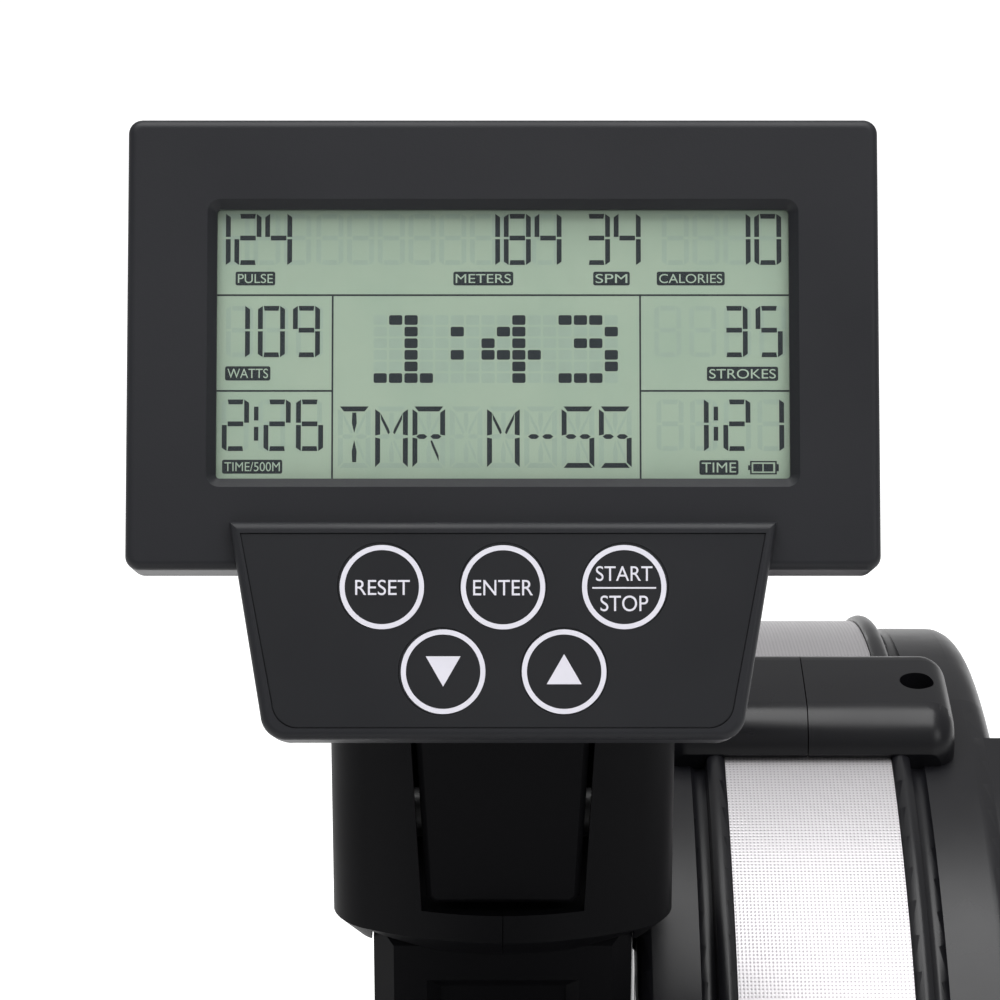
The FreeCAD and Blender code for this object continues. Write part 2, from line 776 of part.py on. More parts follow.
def bar_in_plate():
    """Where the cross bar's axis crosses a plate's own coordinates."""
    dy, dz = numbers("footrest_y - plate_y", "footrest_z - plate_z")
    t = math.radians(number("plate_tilt"))
    return dy * math.cos(t) + dz * math.sin(t), dz * math.cos(t) - dy * math.sin(t)


# ---- drive ----------------------------------------------------------------------------------------------


CASE = [
    ("cover_front_y + cover_depth", "cover_top_z"),
    ("cover_front_y + cover_depth", "cover_low_z"),
    ("nose_y + 18", "cover_low_z"),
    ("nose_y", "strap_z + 16"),
    ("nose_y", "strap_z - 24"),
    ("nose_y + 30", "strap_z - 52"),
    ("812", "430"),
    ("846", "300"),
    ("852", "148"),
    ("1012", "148"),
    ("1018", "300"),
    ("1046", "372"),
    ("1046", "470"),
    ("990", "528"),
    ("905", "560"),
    ("898", "cover_top_z"),
]


def drive_case():
    """The two plastic halves round the drive, open for the strap and the axle."""
    for side, start, end in (("left", "-case_half", "0"), ("right", "0", "case_half")):
        case = Piece(f"drive_case_{side}")
        case.pad("YZ", [CASE], start, end)
        case.dress("Fillet", lambda e: along("x")(e) and e.BoundBox.ZMax < 605
                   and not at("y", "cover_front_y + cover_depth")(e), "12")
        outside = number("case_half") * (-1 if side == "left" else 1)
        case.dress("Fillet", lambda e, x=outside: abs(e.BoundBox.XMin - x) + abs(e.BoundBox.XMax - x) < 0.02
                   and e.BoundBox.ZMax < number("cover_top_z") - 1 and e.BoundBox.YMin < 1100, "3")
        case.shell(lambda f: abs(f.BoundBox.XMin) + abs(f.BoundBox.XMax) < 0.01, "case_wall")
        mouth = [rectangle(("nose_y - 5", "strap_z - 11"), ("nose_y + 12", "strap_z + 9"))]
        case.pocket("YZ", mouth, *(("-17", "0") if side == "left" else ("0", "17")))
        if side == "right":
            case.pocket("YZ", [("circle", "axle_y", "axle_z", "hub_hole")], "case_half - 6", "case_half + 1")
        inside = ("-31", "0") if side == "left" else ("0", "31")
        case.pocket("YZ", [rectangle(("866", "146"), ("1002", "152"))], *inside)
        mast = ("-20.3", "0") if side == "left" else ("0", "20.3")
        hole = rectangle(("mast_front_y - 0.3", "cover_top_z - 4"), ("mast_rear_y + 0.3", "cover_top_z + 1"))
        case.pocket("YZ", [hole], *mast)
        case.done()
    cover = Piece("column_cover")
    top, low = "cover_top_z", "cover_low_z + 0.5"
    cover.pad("XZ", [rectangle(("-case_half", low), ("case_half", top))],
              "cover_front_y", "cover_front_y + cover_depth - 0.1")
    cover.dress("Chamfer", at("y", "cover_front_y"), "5.5")
    cover.pocket("XZ", [rectangle(("-17", "cover_low_z + 14"), ("17", "cover_top_z - 19.4"))],
                 "cover_front_y - 1", "cover_front_y + 4")
    cover.dress("Chamfer", lambda e: at("y", "cover_front_y")(e) and abs(e.BoundBox.XMin) < 18
                and abs(e.BoundBox.XMax) < 18, "3.5")
    cover.done()


def drive_frame():
    """The steel frame of the drive: two side plates welded to the mast, with the bearings in them."""
    outline = [
        ("868", "100"), ("1000", "100"), ("1000", "300"), ("996", "455"), ("972", "478"), ("884", "560"),
        ("880", "cover_top_z - 6"), ("838", "cover_top_z - 6"), ("834", "590"), ("guide_y + 20", "588"),
        ("guide_y - 18", "580"), ("guide_y - 18", "556"), ("guide_y + 10", "536"), ("842", "428"),
        ("866", "300"),
    ]
    plates = []
    for side, start, end in (("left", "-beam_half - plate_sheet", "-beam_half"),
                             ("right", "beam_half", "beam_half + plate_sheet")):
        plate = Piece(f"side_plate_{side}")
        plate.pad("YZ", [outline], start, end)
        plate.dress("Fillet", lambda e: along("x")(e) and e.BoundBox.ZMin > 105 and e.BoundBox.YMin > 705,
                    "6")
        plates.append(plate.body)
    mast = rounded(
        "mast_round",
        box("mast_block", ("-20", "mast_front_y", "560"), ("20", "mast_rear_y", "shroud_top_z - 4")),
        "4",
        lambda e: along("z")(e) and e.BoundBox.YMin > number("mast_rear_y - 1"),
    )
    spacer = box("mast_spacer", ("-beam_half", "mast_front_y + 1", "598"),
                 ("beam_half", "mast_rear_y - 4", "646"))
    ears = []
    for n, x in enumerate(("-20", "15")):
        ears.append(cylinder(f"ear_round_{n}", "x", (x, "arm_pivot_y", "arm_pivot_z"), "7.5", "5"))
        low = (x, "arm_pivot_y", "arm_pivot_z - 7.5")
        high = (f"{x} + 5", "mast_front_y + 1", "arm_pivot_z + 7.5")
        ears.append(box(f"ear_bar_{n}", low, high))
    whole = fuse("drive_weldment", *plates, mast, spacer, *ears)
    bores = [
        box("mast_slot", ("-15", "mast_front_y - 1", "cover_top_z + 6"),
            ("15", "mast_rear_y - 5", "shroud_top_z")),
        box("mast_hollow", ("-16", "mast_front_y + 3", "555"), ("16", "mast_rear_y - 3", "cover_top_z - 6")),
        cylinder("ear_bore", "x", ("-25", "arm_pivot_y", "arm_pivot_z"), "4", "50"),
        cylinder("axle_bore", "x", ("-40", "axle_y", "axle_z"), "bearing_radius", "80"),
        cylinder("guide_bore", "x", ("-40", "guide_y", guide_z()), "4", "80"),
    ]
    keep(cut("drive_bored", whole, *bores), "drive_frame")
    bearings = [
        ring(f"bearing_{n}", "x", (x, "axle_y", "axle_z"), "bearing_radius", "axle_radius + running_gap",
             "bearing_width")
        for n, x in enumerate(("-beam_half - 6.5", "beam_half - 5.5", "outer_bearing_x"))
    ]
    group("axle_bearings", *bearings)
    arm_shaft = cylinder("arm_bolt_shaft", "x", ("-21", "arm_pivot_y", "arm_pivot_z"), "4", "42")
    arm_heads = [cylinder(f"arm_bolt_head_{n}", "x", (x, "arm_pivot_y", "arm_pivot_z"), "6.5", "3.5")
                 for n, x in enumerate(("-23.5", "20"))]
    guide_start = ("-beam_half - 6", "guide_y", guide_z())
    guide_shaft = cylinder("guide_bolt_shaft", "x", guide_start, "4", "2 * beam_half + 12")
    guide_head = cylinder("guide_bolt_head", "x", ("beam_half + plate_sheet", "guide_y", guide_z()), "6.5",
                          "1.8")
    fold = fold_pin()
    group("pivot_bolts", fuse("arm_bolt", arm_shaft, *arm_heads),
          fuse("guide_bolt", guide_shaft, guide_head), fold)


def guide_z():
    """Height of the guide roller's axis: the strap runs over its top."""
    return "strap_z - strap_thick / 2 - guide_radius - 0.3"


def drive_train():
    """Axle, spool, wound strap, one-way clutch, recoil spring can, guide roller and the hidden strap run."""
    start = ("axle_left_x", "axle_y", "axle_z")
    bar = cylinder("axle_bar", "x", start, "axle_radius", "axle_right_x - axle_left_x")
    nut = Piece("axle_nut", spot("axle_right_x - 2", "axle_y", "axle_z"))
    nut.revolve([[("0", "0"), ("0", "13"), ("9", "13"), ("13", "8"), ("14", "0")]])
    nut.body.Placement = nut.placement
    keep(fuse("axle_whole", bar, nut.body), "fan_axle")
    spool = Piece("strap_spool", spot("0", "axle_y", "axle_z"))
    profile = [("-17.5", "23"), ("-17.5", "spool_radius"), ("-15", "spool_radius"), ("-15", "26"),
               ("15", "26"),
               ("15", "spool_radius"), ("17.5", "spool_radius"), ("17.5", "13"), ("0", "13"), ("0", "23")]
    spool.revolve([profile])
    spool.done()
    keep(ring("clutch", "x", ("0", "axle_y", "axle_z"), "13", "axle_radius + running_gap", "17.5"),
         "one_way_clutch")
    keep(ring("recoil", "x", ("-17", "axle_y", "axle_z"), "23", "axle_radius + 2", "16.9"), "recoil_spring")
    coil = ring("coil", "x", ("-strap_width / 2", "axle_y", "axle_z"), "coil_radius", "26", "strap_width")
    keep(coil, "strap_coil")
    roller_z = guide_z()
    roller = Piece("guide_roller", spot("0", "guide_y", roller_z))
    roller.revolve([[("-20", "4 + running_gap"), ("-20", "guide_radius + 3"), ("-15", "guide_radius + 3"),
                     ("-14", "guide_radius"), ("14", "guide_radius"), ("15", "guide_radius + 3"),
                     ("20", "guide_radius + 3"), ("20", "4 + running_gap")]])
    roller.done()
    strap_run()


def strap_run():
    """The straight stretch of strap inside the case, on the upper common tangent of roller and coil."""
    y1, z1, r1 = numbers("guide_y", guide_z(), "guide_radius + 0.5")
    y2, z2, r2 = numbers("axle_y", "axle_z", "coil_radius + 0.5")
    length, lean = math.hypot(y2 - y1, z2 - z1), math.atan2(z2 - z1, y2 - y1)
    tilt = lean + math.asin((r1 - r2) / length) * -1
    span = math.sqrt(length**2 - (r2 - r1) ** 2)
    strap = doc.addObject("Part::Box", "strap_run_box")
    strap.setExpression("Length", ref("strap_width"))
    strap.setExpression("Height", ref("strap_thick"))
    strap.Width = span
    foot = Vector(-number("strap_width") / 2, y1 - r1 * math.sin(tilt), z1 + r1 * math.cos(tilt))
    strap.Placement = Placement(foot, Rotation(Vector(1, 0, 0), math.degrees(tilt)))
    keep(strap, "strap_run")


# ---- fan drum -------------------------------------------------------------------------------------------


def shell_profile(side, corner):
    """One side of the drum's section, as distance from the band's middle and radius from the axle."""
    under_band = "band_radius - band_sheet - 0.1"
    inner_side = f"{side} - shell_wall"
    return [
        ("band_half - 4", "shoulder_radius - 2.5"),
        ("band_half - 4", under_band),
        ("band_half + 0.2", under_band),
        ("band_half + 0.2", "band_radius + 0.6"),
        ("band_half + 5.2", "band_radius + 0.6", "3.2"),
        ("band_half + 5.8", "shoulder_radius - 0.6"),
        ("band_half + 9.8", "shoulder_radius", "-2.6"),
        (f"{side} - {corner}", "shoulder_radius"),
        (side, f"shoulder_radius - {corner}", corner),
        (side, "224"),
        (f"{side} - side_recess", "220"),
        (f"{side} - side_recess", "74"),
        (side, "70"),
        (side, "hub_hole"),
        (inner_side, "hub_hole"),
        (inner_side, "68"),
        (f"{inner_side} - side_recess", "72"),
        (f"{inner_side} - side_recess", "222"),
        (inner_side, "226"),
        (inner_side, f"shoulder_radius - {corner} - 1"),
        (f"{side} - {corner} - 1", "shoulder_radius - 2.5", f"-({corner} - 1.5)"),
    ]


def drum():
    """The drum: two shells with side grilles and bridge halves, and the band between them."""
    place = spot("drum_x", "axle_y", "axle_z")
    for side in ("left", "right"):
        shell = Piece(f"drum_shell_{side}", place)
        half = f"drum_half_{side}"
        profile = shell_profile(half, f"corner_{side}")
        shell.revolve([profile if side == "right" else flip_outline(profile)])
        slot = [("-2.2", "92"), ("2.2", "92", "-2.3"), ("4", "212"), ("-4", "212", "-4.1")]
        wall = (f"{half} - side_recess - shell_wall - 1", f"{half} - side_recess + 1")
        span = wall if side == "right" else (f"-({wall[1]})", f"-({wall[0]})")
        hole = shell.pocket("YZ", [slot], *span)
        shell.polar(hole, "grille_slots")
        over_band = ("0.15", "band_half + 0.4") if side == "right" else ("-band_half - 0.4", "-0.15")
        on_shell = ("-bridge_half", "-band_half - 0.4")
        if side == "right":
            on_shell = ("band_half + 0.4", "bridge_half")
        shell.pad("YZ", [bridge_profile("band_radius + 0.5")], *over_band)
        shell.pad("YZ", [bridge_profile("shoulder_radius - 1.5")], *on_shell)
        sign = 1 if side == "right" else -1
        end = number("bridge_half") * sign
        shell.dress("Fillet", lambda e, x=end: abs(e.BoundBox.XMin - x) + abs(e.BoundBox.XMax - x) < 0.02
                    and e.BoundBox.ZMin > 248.5, "8")
        shell.pocket("XY", [("circle", f"{sign} * recess_x", "recess_y", "5")], "252", "270")
        if side == "right":
            add_damper_scale(shell)
        shell.done()
    band = ring("band_ring", "x", ("drum_x - band_half", "axle_y", "axle_z"), "band_radius",
                "band_radius - band_sheet", "2 * band_half")
    keep(band, "mesh_band")


def around(radius, angle):
    """A corner at a radius and an angle from straight up, turning towards the rower."""
    a = math.radians(angle)
    return f"-({radius}) * {math.sin(a):.6f}", f"({radius}) * {math.cos(a):.6f}"


def sector(inner, outer, start, end):
    """A ring-shaped outline between two radii and two angles."""
    return [
        (*around(inner, start), inner),
        around(outer, start),
        (*around(outer, end), f"-({outer})"),
        around(inner, end),
    ]


def add_damper_scale(shell):
    """The raised scale round the damper lever's slot, and the lip inside that the damper ring turns on."""
    inside = "drum_half_right - side_recess - shell_wall"
    lip = [(f"{inside} - 3.5", "76"), (f"{inside} - 3.5", "80 - running_gap"),
           (f"{inside} + 0.5", "80 - running_gap"), (f"{inside} + 0.5", "76")]
    shell.revolve([lip])
    shell.pad("YZ", [sector("scale_inner", "scale_outer", 5, 74)], "drum_half_right - side_recess - 1",
              "scale_face")
    shell.dress("Chamfer", lambda e: at("x", "scale_face")(e), "2")
    shell.pocket("YZ", [sector("lever_radius - 5", "lever_radius + 5", 20, 62)], f"{inside} - 1",
                 "scale_face + 1")


def flip_outline(corners):
    """A profile mirrored left to right, with its arcs kept on the same side."""
    flipped = []
    count = len(corners)
    for k in range(count - 1, -1, -1):
        after = corners[(k + 1) % count]
        bulge = after[2:] if len(after) == 3 else ()
        flipped.append((f"-({corners[k][0]})", corners[k][1], *bulge))
    return flipped


def bridge_profile(inner):
    """Section of the bridge over the band, from the drum's top to a round nose towards the rower."""
    return [
        around(inner, 9),
        (*around(inner, -2), inner),
        around("bridge_radius - 10", -2),
        (*around("bridge_radius", 0.8), "-12.5"),
        (*around("bridge_radius", 6.4), "-bridge_radius"),
        (*around("bridge_radius - 10", 9.2), "-12.5"),
    ]


def fan():
    """The fan wheel with its flywheel plate, inside the drum."""
    place = spot("drum_x", "axle_y", "axle_z")
    wheel = Piece("fan_wheel", place)
    wheel.revolve([[("-40", "axle_radius"), ("-40", "18"), ("-20", "24"), ("-1.5", "30"),
                    ("-1.5", "blade_radius"), ("1.5", "blade_radius"), ("1.5", "30"), ("20", "24"),
                    ("40", "18"), ("40", "axle_radius")]])
    blade = [("-1", "150"), ("1", "150"), ("9", "blade_radius - 3"), ("7", "blade_radius - 3")]
    vane = wheel.pad("YZ", [blade], "-blade_half", "blade_half")
    wheel.polar(vane, "blade_count")
    wheel.done()
    plate = Piece("flywheel_plate", place)
    plate.revolve([[("1.5", "60"), ("1.5", "146"), ("9.5", "146"), ("9.5", "60")]])
    hole = plate.pocket("YZ", [("circle", "0", "76", "3.3")], "0", "11")
    plate.polar(hole, "6")
    plate.done()
    damper()


def damper():
    """The damper: a ring with air slots behind the right grille, its lever, and the scale pod outside."""
    place = spot("drum_x", "axle_y", "axle_z")
    plate = Piece("damper_ring", place)
    inside = "drum_half_right - side_recess - shell_wall"
    plate.revolve([[(f"{inside} - 2.6", "80"), (f"{inside} - 2.6", "218"), (f"{inside} - 0.6", "218"),
                    (f"{inside} - 0.6", "80")]])
    hole = plate.pocket("YZ", [[("-3", "95"), ("3", "95"), ("6.5", "180"), ("-6.5", "180")]],
                        f"{inside} - 4", inside)
    plate.polar(hole, "20")
    stub = [around("lever_radius - 4", 40), around("lever_radius + 4", 40), around("lever_radius + 4", 42),
            around("lever_radius - 4", 42)]
    plate.pad("YZ", [stub[::-1]], f"{inside} - 1", "scale_face + 3")
    tip = [around("lever_radius - 9", 39), around("lever_radius + 16", 39), around("lever_radius + 16", 43),
           around("lever_radius - 9", 43)]
    plate.pad("YZ", [tip[::-1]], "scale_face + 2", "scale_face + 13")
    plate.dress("Fillet", lambda e: at("x", "scale_face + 13")(e), "3")
    plate.done()


# ---- shroud and arm -------------------------------------------------------------------------------------


def shroud():
    """The two plastic halves round the arm's pivot, with a notch in front for the arm."""
    for side, sign in (("left", -1), ("right", 1)):
        half = Piece(f"shroud_{side}")
        front = [("0.1", "shroud_front_y"), ("shroud_half - 9", "shroud_front_y + 8.4", "-90"),
                 ("shroud_half", "shroud_front_y + 20", "-15"), ("shroud_half", "shroud_rear_y - 14"),
                 ("shroud_half - 14", "shroud_rear_y", "-14"), ("0.1", "shroud_rear_y")]
        inner = [("0", "shroud_front_y + shroud_wall"),
                 ("shroud_half - 10", "shroud_front_y + 8.4 + shroud_wall", "-87"),
                 ("shroud_half - shroud_wall", "shroud_front_y + 21", "-13"),
                 ("shroud_half - shroud_wall", "shroud_rear_y - 14"),
                 ("shroud_half - 14", "shroud_rear_y - 3", "-11"), ("0", "shroud_rear_y - 3")]
        if sign < 0:
            front, inner = flip_outline(front), flip_outline(inner)
        half.pad("XY", [front], "skirt_z", "shroud_top_z")
        half.dress("Chamfer", lambda e: at("z", "skirt_z")(e) and abs(e.CenterOfMass.x) > 1, "6.5")
        reach = ("-case_half - 0.4", "0.2") if sign < 0 else ("-0.2", "case_half + 0.4")
        column = rectangle((reach[0], "cover_front_y - 0.3"), (reach[1], "shroud_rear_y + 1"))
        half.pocket("XY", [column], "skirt_z - 1", "shroud_low_z")
        half.pocket("XY", [inner], "shroud_low_z + shroud_wall", "shroud_top_z + 1")
        notch = ("-24.6", "0.2") if sign < 0 else ("-0.2", "24.6")
        low = ("-21.6", "0.2") if sign < 0 else ("-0.2", "21.6")
        sides = [(low[0], "shroud_low_z + 7.2"), (low[1], "shroud_low_z + 7.2"),
                 (notch[1], "shroud_top_z + 1"),
                 (notch[0], "shroud_top_z + 1")]
        half.pocket("XZ", [sides], "shroud_front_y - 2", "shroud_front_y + 24")
        stem = rectangle(("-20.3" if sign < 0 else "-0.2", "mast_front_y - 0.3"),
                         ("0.2" if sign < 0 else "20.3", "mast_rear_y + 0.3"))
        half.pocket("XY", [stem], "shroud_low_z - 1", "shroud_low_z + shroud_wall + 1")
        half.done()


def arm():
    """The console arm: a tapered moulding from the pivot in the shroud to the console's hinge."""
    hinge_y, hinge_z = hinge_place()
    piece = Piece("console_arm")
    crown = [("24.1", "746"), ("9.5", "764"), ("9.5", hinge_z), ("-9.5", hinge_z), ("-9.5", "764"),
             ("-24.1", "746")]
    face = [("-20.4", "arm_low_z + 2"), ("-18.4", "arm_low_z"), ("18.4", "arm_low_z"),
            ("20.4", "arm_low_z + 2"), *crown]
    piece.pad("XZ", [face], "arm_front_y", "arm_front_y + 4")
    piece.pad("XZ", [[("-22.4", "712"), ("22.4", "712"), *crown]], "arm_front_y + 4", "arm_front_y + 24")
    piece.dress("Chamfer", lambda e: at("y", "arm_front_y")(e), "1.6")
    piece.pad("YZ", [rectangle(("arm_front_y + 3", "arm_pivot_z - 8"), ("arm_pivot_y + 8", "714"))], "-14.5",
              "14.5")
    piece.pocket("YZ", [("circle", "arm_pivot_y", "arm_pivot_z", "4 + running_gap")], "-20", "20")
    piece.pad("YZ", [("circle", hinge_y, hinge_z, "9")], "-9.5", "9.5")
    piece.pocket("XZ", [rectangle(("-30", f"{hinge_z} - 17"), ("30", f"{hinge_z} + 12"))],
                 "arm_front_y - 1", f"{hinge_y} - 8.6")
    piece.pad("YZ", [("circle", hinge_y, hinge_z, "3")], "-16", "16")
    for start, end in (("-19", "-15.8"), ("15.8", "19")):
        piece.pad("YZ", [("circle", hinge_y, hinge_z, "5.5")], start, end)
    piece.done()


def hinge_place():
    """World y and z of the console's tilt axis, as formulas of plain numbers."""
    t = math.radians(number("console_tilt"))
    back, drop = numbers("hinge_back", "-hinge_drop")
    y = number("screen_y") + back * math.cos(t) - drop * math.sin(t)
    z = number("screen_z") + back * math.sin(t) + drop * math.cos(t)
    return f"{y:.4f}", f"{z:.4f}"


# ---- console --------------------------------------------------------------------------------------------


KEYS = {
    "reset": ("-30.2", "-61.2"),
    "enter": ("0", "-61.2"),
    "start_stop": ("30.2", "-61.2"),
    "down": ("-15.1", "-82.3"),
    "up": ("15.1", "-82.3"),
}


def console_place():
    return spot("0", "screen_y", "screen_z", "console_tilt")


def keypad_outline(inset):
    """The keypad's trapezoid, drawn in by an amount, with round lower corners."""
    top, low = f"keypad_top - ({inset})", f"keypad_bottom + ({inset})"
    wide, narrow = f"keypad_top_half - ({inset})", f"keypad_bottom_half - ({inset})"
    return [(f"-({wide})", top), (f"-({narrow}) - 1", f"{low} + 6"), (f"-({narrow}) + 6", low, "-6.4"),
            (f"{narrow} - 6", low), (f"{narrow} + 1", f"{low} + 6", "-6.4"), (wide, top)]


def console():
    """The console in its own coordinates: y is 0 on the screen's front face and grows to the back."""
    place = console_place()
    screen = rectangle(("-screen_half_width", "-screen_half_height"),
                       ("screen_half_width", "screen_half_height"))
    bezel = Piece("console_bezel", place)
    bezel.pad("XZ", [screen], "0", "bezel_depth")
    bezel.dress("Fillet", along("y"), "3.5")
    bezel.dress("Fillet", at("y", "0"), "2.2")
    bezel.pad("XZ", [keypad_outline("0")], "-keypad_raise", "bezel_depth")
    bezel.dress("Fillet", at("y", "-keypad_raise"), "2")
    inside = rectangle(("2.5 - screen_half_width", "2.5 - screen_half_height"),
                       ("screen_half_width - 2.5", "screen_half_height - 2.5"))
    bezel.pocket("XZ", [inside], "front_wall", "bezel_depth + 1")
    bezel.pocket("XZ", [keypad_outline("2.5")], "-1.2", "bezel_depth + 1")
    window = rectangle(("-window_half_width", "window_low"), ("window_half_width", "window_high"))
    bezel.pocket("XZ", [window], "-1", "front_wall + 1")
    bezel.dress("Fillet",
                lambda e: along("y")(e) and abs(abs(e.BoundBox.XMax) - number("window_half_width")) < 0.1
                and any(at("z", z)(e) for z in ("window_low", "window_high")), "1")
    bezel.dress("Chamfer",
                lambda e: at("y", "0")(e) and abs(e.BoundBox.XMax) < number("window_half_width") + 0.2
                and e.BoundBox.XMin > -number("window_half_width") - 0.2 and e.BoundBox.ZMin > -35, "bevel")
    bezel.pocket("XZ", [keypad_outline("keypad_rim")], "-keypad_raise - 1", "-keypad_raise + 0.8")
    holes = [("circle", u, v, "key_radius + key_gap") for u, v in KEYS.values()]
    bezel.pocket("XZ", holes, "-keypad_raise", "0")
    bezel.done()
    overlay = Piece("keypad_overlay", place)
    overlay.pad("XZ", [keypad_outline("keypad_rim + 0.25")], "-keypad_raise + 0.3", "-keypad_raise + 0.8")
    overlay.pocket("XZ", holes, "-keypad_raise", "0")
    overlay.done()
    for name, (u, v) in KEYS.items():
        key = Piece(f"key_{name}", place)
        key.pad("XZ", [("circle", u, v, "key_radius")], "-keypad_raise + 0.3", "-0.9")
        key.pad("XZ", [("circle", u, v, "key_radius + 1.3")], "-1", "0.2")
        key.done()
    board = Piece("key_board", place)
    board.pad("XZ", [rectangle(("-48", "-94.5"), ("48", "-50"))], "1.2", "2.8")
    board.done()
    lens = Piece("screen_lens", place)
    sheet_outline = rectangle(("-window_half_width - 4", "window_low - 4"),
                              ("window_half_width + 4", "window_high + 4"))
    lens.pad("XZ", [sheet_outline], "front_wall", "front_wall + 1")
    lens.done()
    glass = Piece("lcd_module", place)
    block = rectangle(("-window_half_width - 3", "window_low - 3"),
                      ("window_half_width + 3", "window_high + 3"))
    glass.pad("XZ", [block], "front_wall + 1.05", "front_wall + 7")
    glass.done()
    console_back(place)


def console_back(place):
    """The back shell with its hinge lugs, the battery door and the hinge pin."""
    back = Piece("console_back", place)
    screen = rectangle(("-screen_half_width", "-screen_half_height"),
                       ("screen_half_width", "screen_half_height"))
    back.pad("XZ", [screen], "bezel_depth + 0.1", "bezel_depth + 6")
    back.dress("Fillet", along("y"), "3.5")
    inner = rectangle(("14 - screen_half_width", "12 - screen_half_height"),
                      ("screen_half_width - 14", "screen_half_height - 12"))
    back.pad("XZ", [inner], "bezel_depth + 5", "body_depth")
    back.dress("Chamfer", at("y", "body_depth"), "7")
    back.pad("XZ", [keypad_outline("0.1")], "bezel_depth + 0.1", "bezel_depth + 7")
    back.pocket("XZ", [rectangle(("17 - screen_half_width", "15 - screen_half_height"),
                                 ("screen_half_width - 17", "screen_half_height - 15"))],
                "bezel_depth", "body_depth - 9")
    lugs = [rectangle((a, "-hinge_drop - 9"), (b, "-hinge_drop + 9")) for a,
            b in (("-15.5", "-10"), ("10", "15.5"))]
    back.pad("XZ", lugs, "body_depth - 9", "hinge_back + 8")
    back.dress("Fillet", lambda e: along("x")(e) and e.BoundBox.YMin > number("hinge_back + 7"), "7")
    back.pocket("YZ", [("circle", "hinge_back", "-hinge_drop", "3 + running_gap")], "-20", "20")
    back.pocket("XZ", [rectangle(("-36", "-14"), ("36", "26"))], "body_depth - 3", "body_depth + 1")
    back.done()
    door = Piece("battery_door", place)
    door.pad("XZ", [rectangle(("-35.7", "-13.7"), ("35.7", "25.7"))], "body_depth - 2.9", "body_depth - 0.4")
    door.pad("XZ", [rectangle(("-8", "18"), ("8", "21"))], "body_depth - 0.5", "body_depth + 0.8")
    door.done()


# ---- handle -------------------------------------------------------------------------------------------


def handle():
    """The pull handle: a bent bar with two grips, end plugs, the yoke and its strap."""
    bend = math.radians(number("handle_bend"))
    straight, turn, reach = 46.0, 90.0, 240.0
    kx, ky = straight + turn * math.sin(bend), -turn * (1 - math.cos(bend))
    ex = reach
    ey = ky - (ex - kx) * math.tan(bend)
    bar = Piece("handle_bar", spot("0", "handle_y", "strap_z"))
    path = bar.body.newObject("Sketcher::SketchObject", "handle_path")
    path.AttachmentSupport = (bar.origin("XY_Plane"), [""])
    path.MapMode = "FlatFace"
    path.addGeometry(Part.LineSegment(Vector(0, 0, 0), Vector(straight, 0, 0)), False)
    centre = Vector(straight, -turn, 0)
    arc = Part.ArcOfCircle(Part.Circle(centre, Vector(0, 0, 1), turn), math.pi / 2 - bend, math.pi / 2)
    path.addGeometry(arc, False)
    path.addGeometry(Part.LineSegment(Vector(kx, ky, 0), Vector(ex, ey, 0)), False)
    path.addConstraint(Sketcher.Constraint("Coincident", 0, 2, 1, 2))
    path.addConstraint(Sketcher.Constraint("Coincident", 1, 1, 2, 1))
    section = bar.sketch("YZ", [("circle", "0", "0", "handle_radius")])
    pipe = bar.body.newObject("PartDesign::AdditivePipe", "handle_pipe")
    pipe.Profile = section
    pipe.Spine = (path, ["Edge1", "Edge2", "Edge3"])
    doc.recompute()
    bar.mirror([pipe])
    bar.done()
    lean = number("handle_bend")
    grips = []
    for side, sign in (("left", -1), ("right", 1)):
        grip = Piece(f"handle_grip_{side}")
        grip.revolve([[("0", "handle_radius"), ("0", "grip_radius - 3"), ("3", "grip_radius", "3"),
                       ("166", "grip_radius"), ("169", "grip_radius - 3", "3"), ("169", "handle_radius")]])
        start = Vector(sign * (kx + 6 * math.cos(bend)), number("handle_y") + ky - 6 * math.sin(bend),
                       number("strap_z"))
        angle = -lean if sign > 0 else 180 + lean
        grip.body.Placement = Placement(start, Rotation(Vector(0, 0, 1), angle))
        grips.append(grip.body)
    group("handle_grips", *grips)
    yoke = Piece("handle_yoke", spot("0", "handle_y", "strap_z"))
    yoke.pad("YZ", [[("-4", "-15.5"), ("-4", "15.5", "16"), ("10", "12"), ("34", "6"), ("34", "-6"),
                     ("10", "-12")]],
             "-19", "19")
    yoke.pocket("YZ", [("circle", "0", "0", "handle_radius")], "-20", "20")
    yoke.pocket("XZ", [rectangle(("-13", "-0.85"), ("13", "0.85"))], "14", "35")
    yoke.pad("YZ", [("circle", "26", "0", "2.5")], "-13.5", "13.5")
    yoke.done()
    strap = box(
        "pull_strap_box",
        ("-strap_width / 2", "handle_y + 15", "strap_z - strap_thick / 2"),
        ("strap_width / 2", "guide_y", "strap_z + strap_thick / 2"),
    )
    hole = cylinder("pull_strap_hole", "x", ("-15", "handle_y + 26", "strap_z"), "2.5", "30")
    keep(cut("pull_strap_cut", strap, hole), "pull_strap")


# ---- wheels -------------------------------------------------------------------------------------------


def wheels():
    """The two transport wheels on the front foot, clear of the floor until the machine is tipped."""
    pair = []
    for side, x in (("left", "-206"), ("right", "206")):
        wheel = Piece(f"transport_wheel_{side}", spot(x, "wheel_y", "wheel_z"))
        wheel.revolve([[("-12", "4 + running_gap"), ("-12", "14"), ("-9", "16"), ("-9", "25"), ("-11", "27"),
                        ("-11", "29"), ("-8", "32", "3"), ("8", "32"), ("11", "29", "3"), ("11", "27"),
                        ("9", "25"), ("9", "16"), ("12", "14"), ("12", "4 + running_gap")]])
        wheel.body.Placement = wheel.placement
        pair.append(wheel.body)
    group("transport_wheels", *pair)


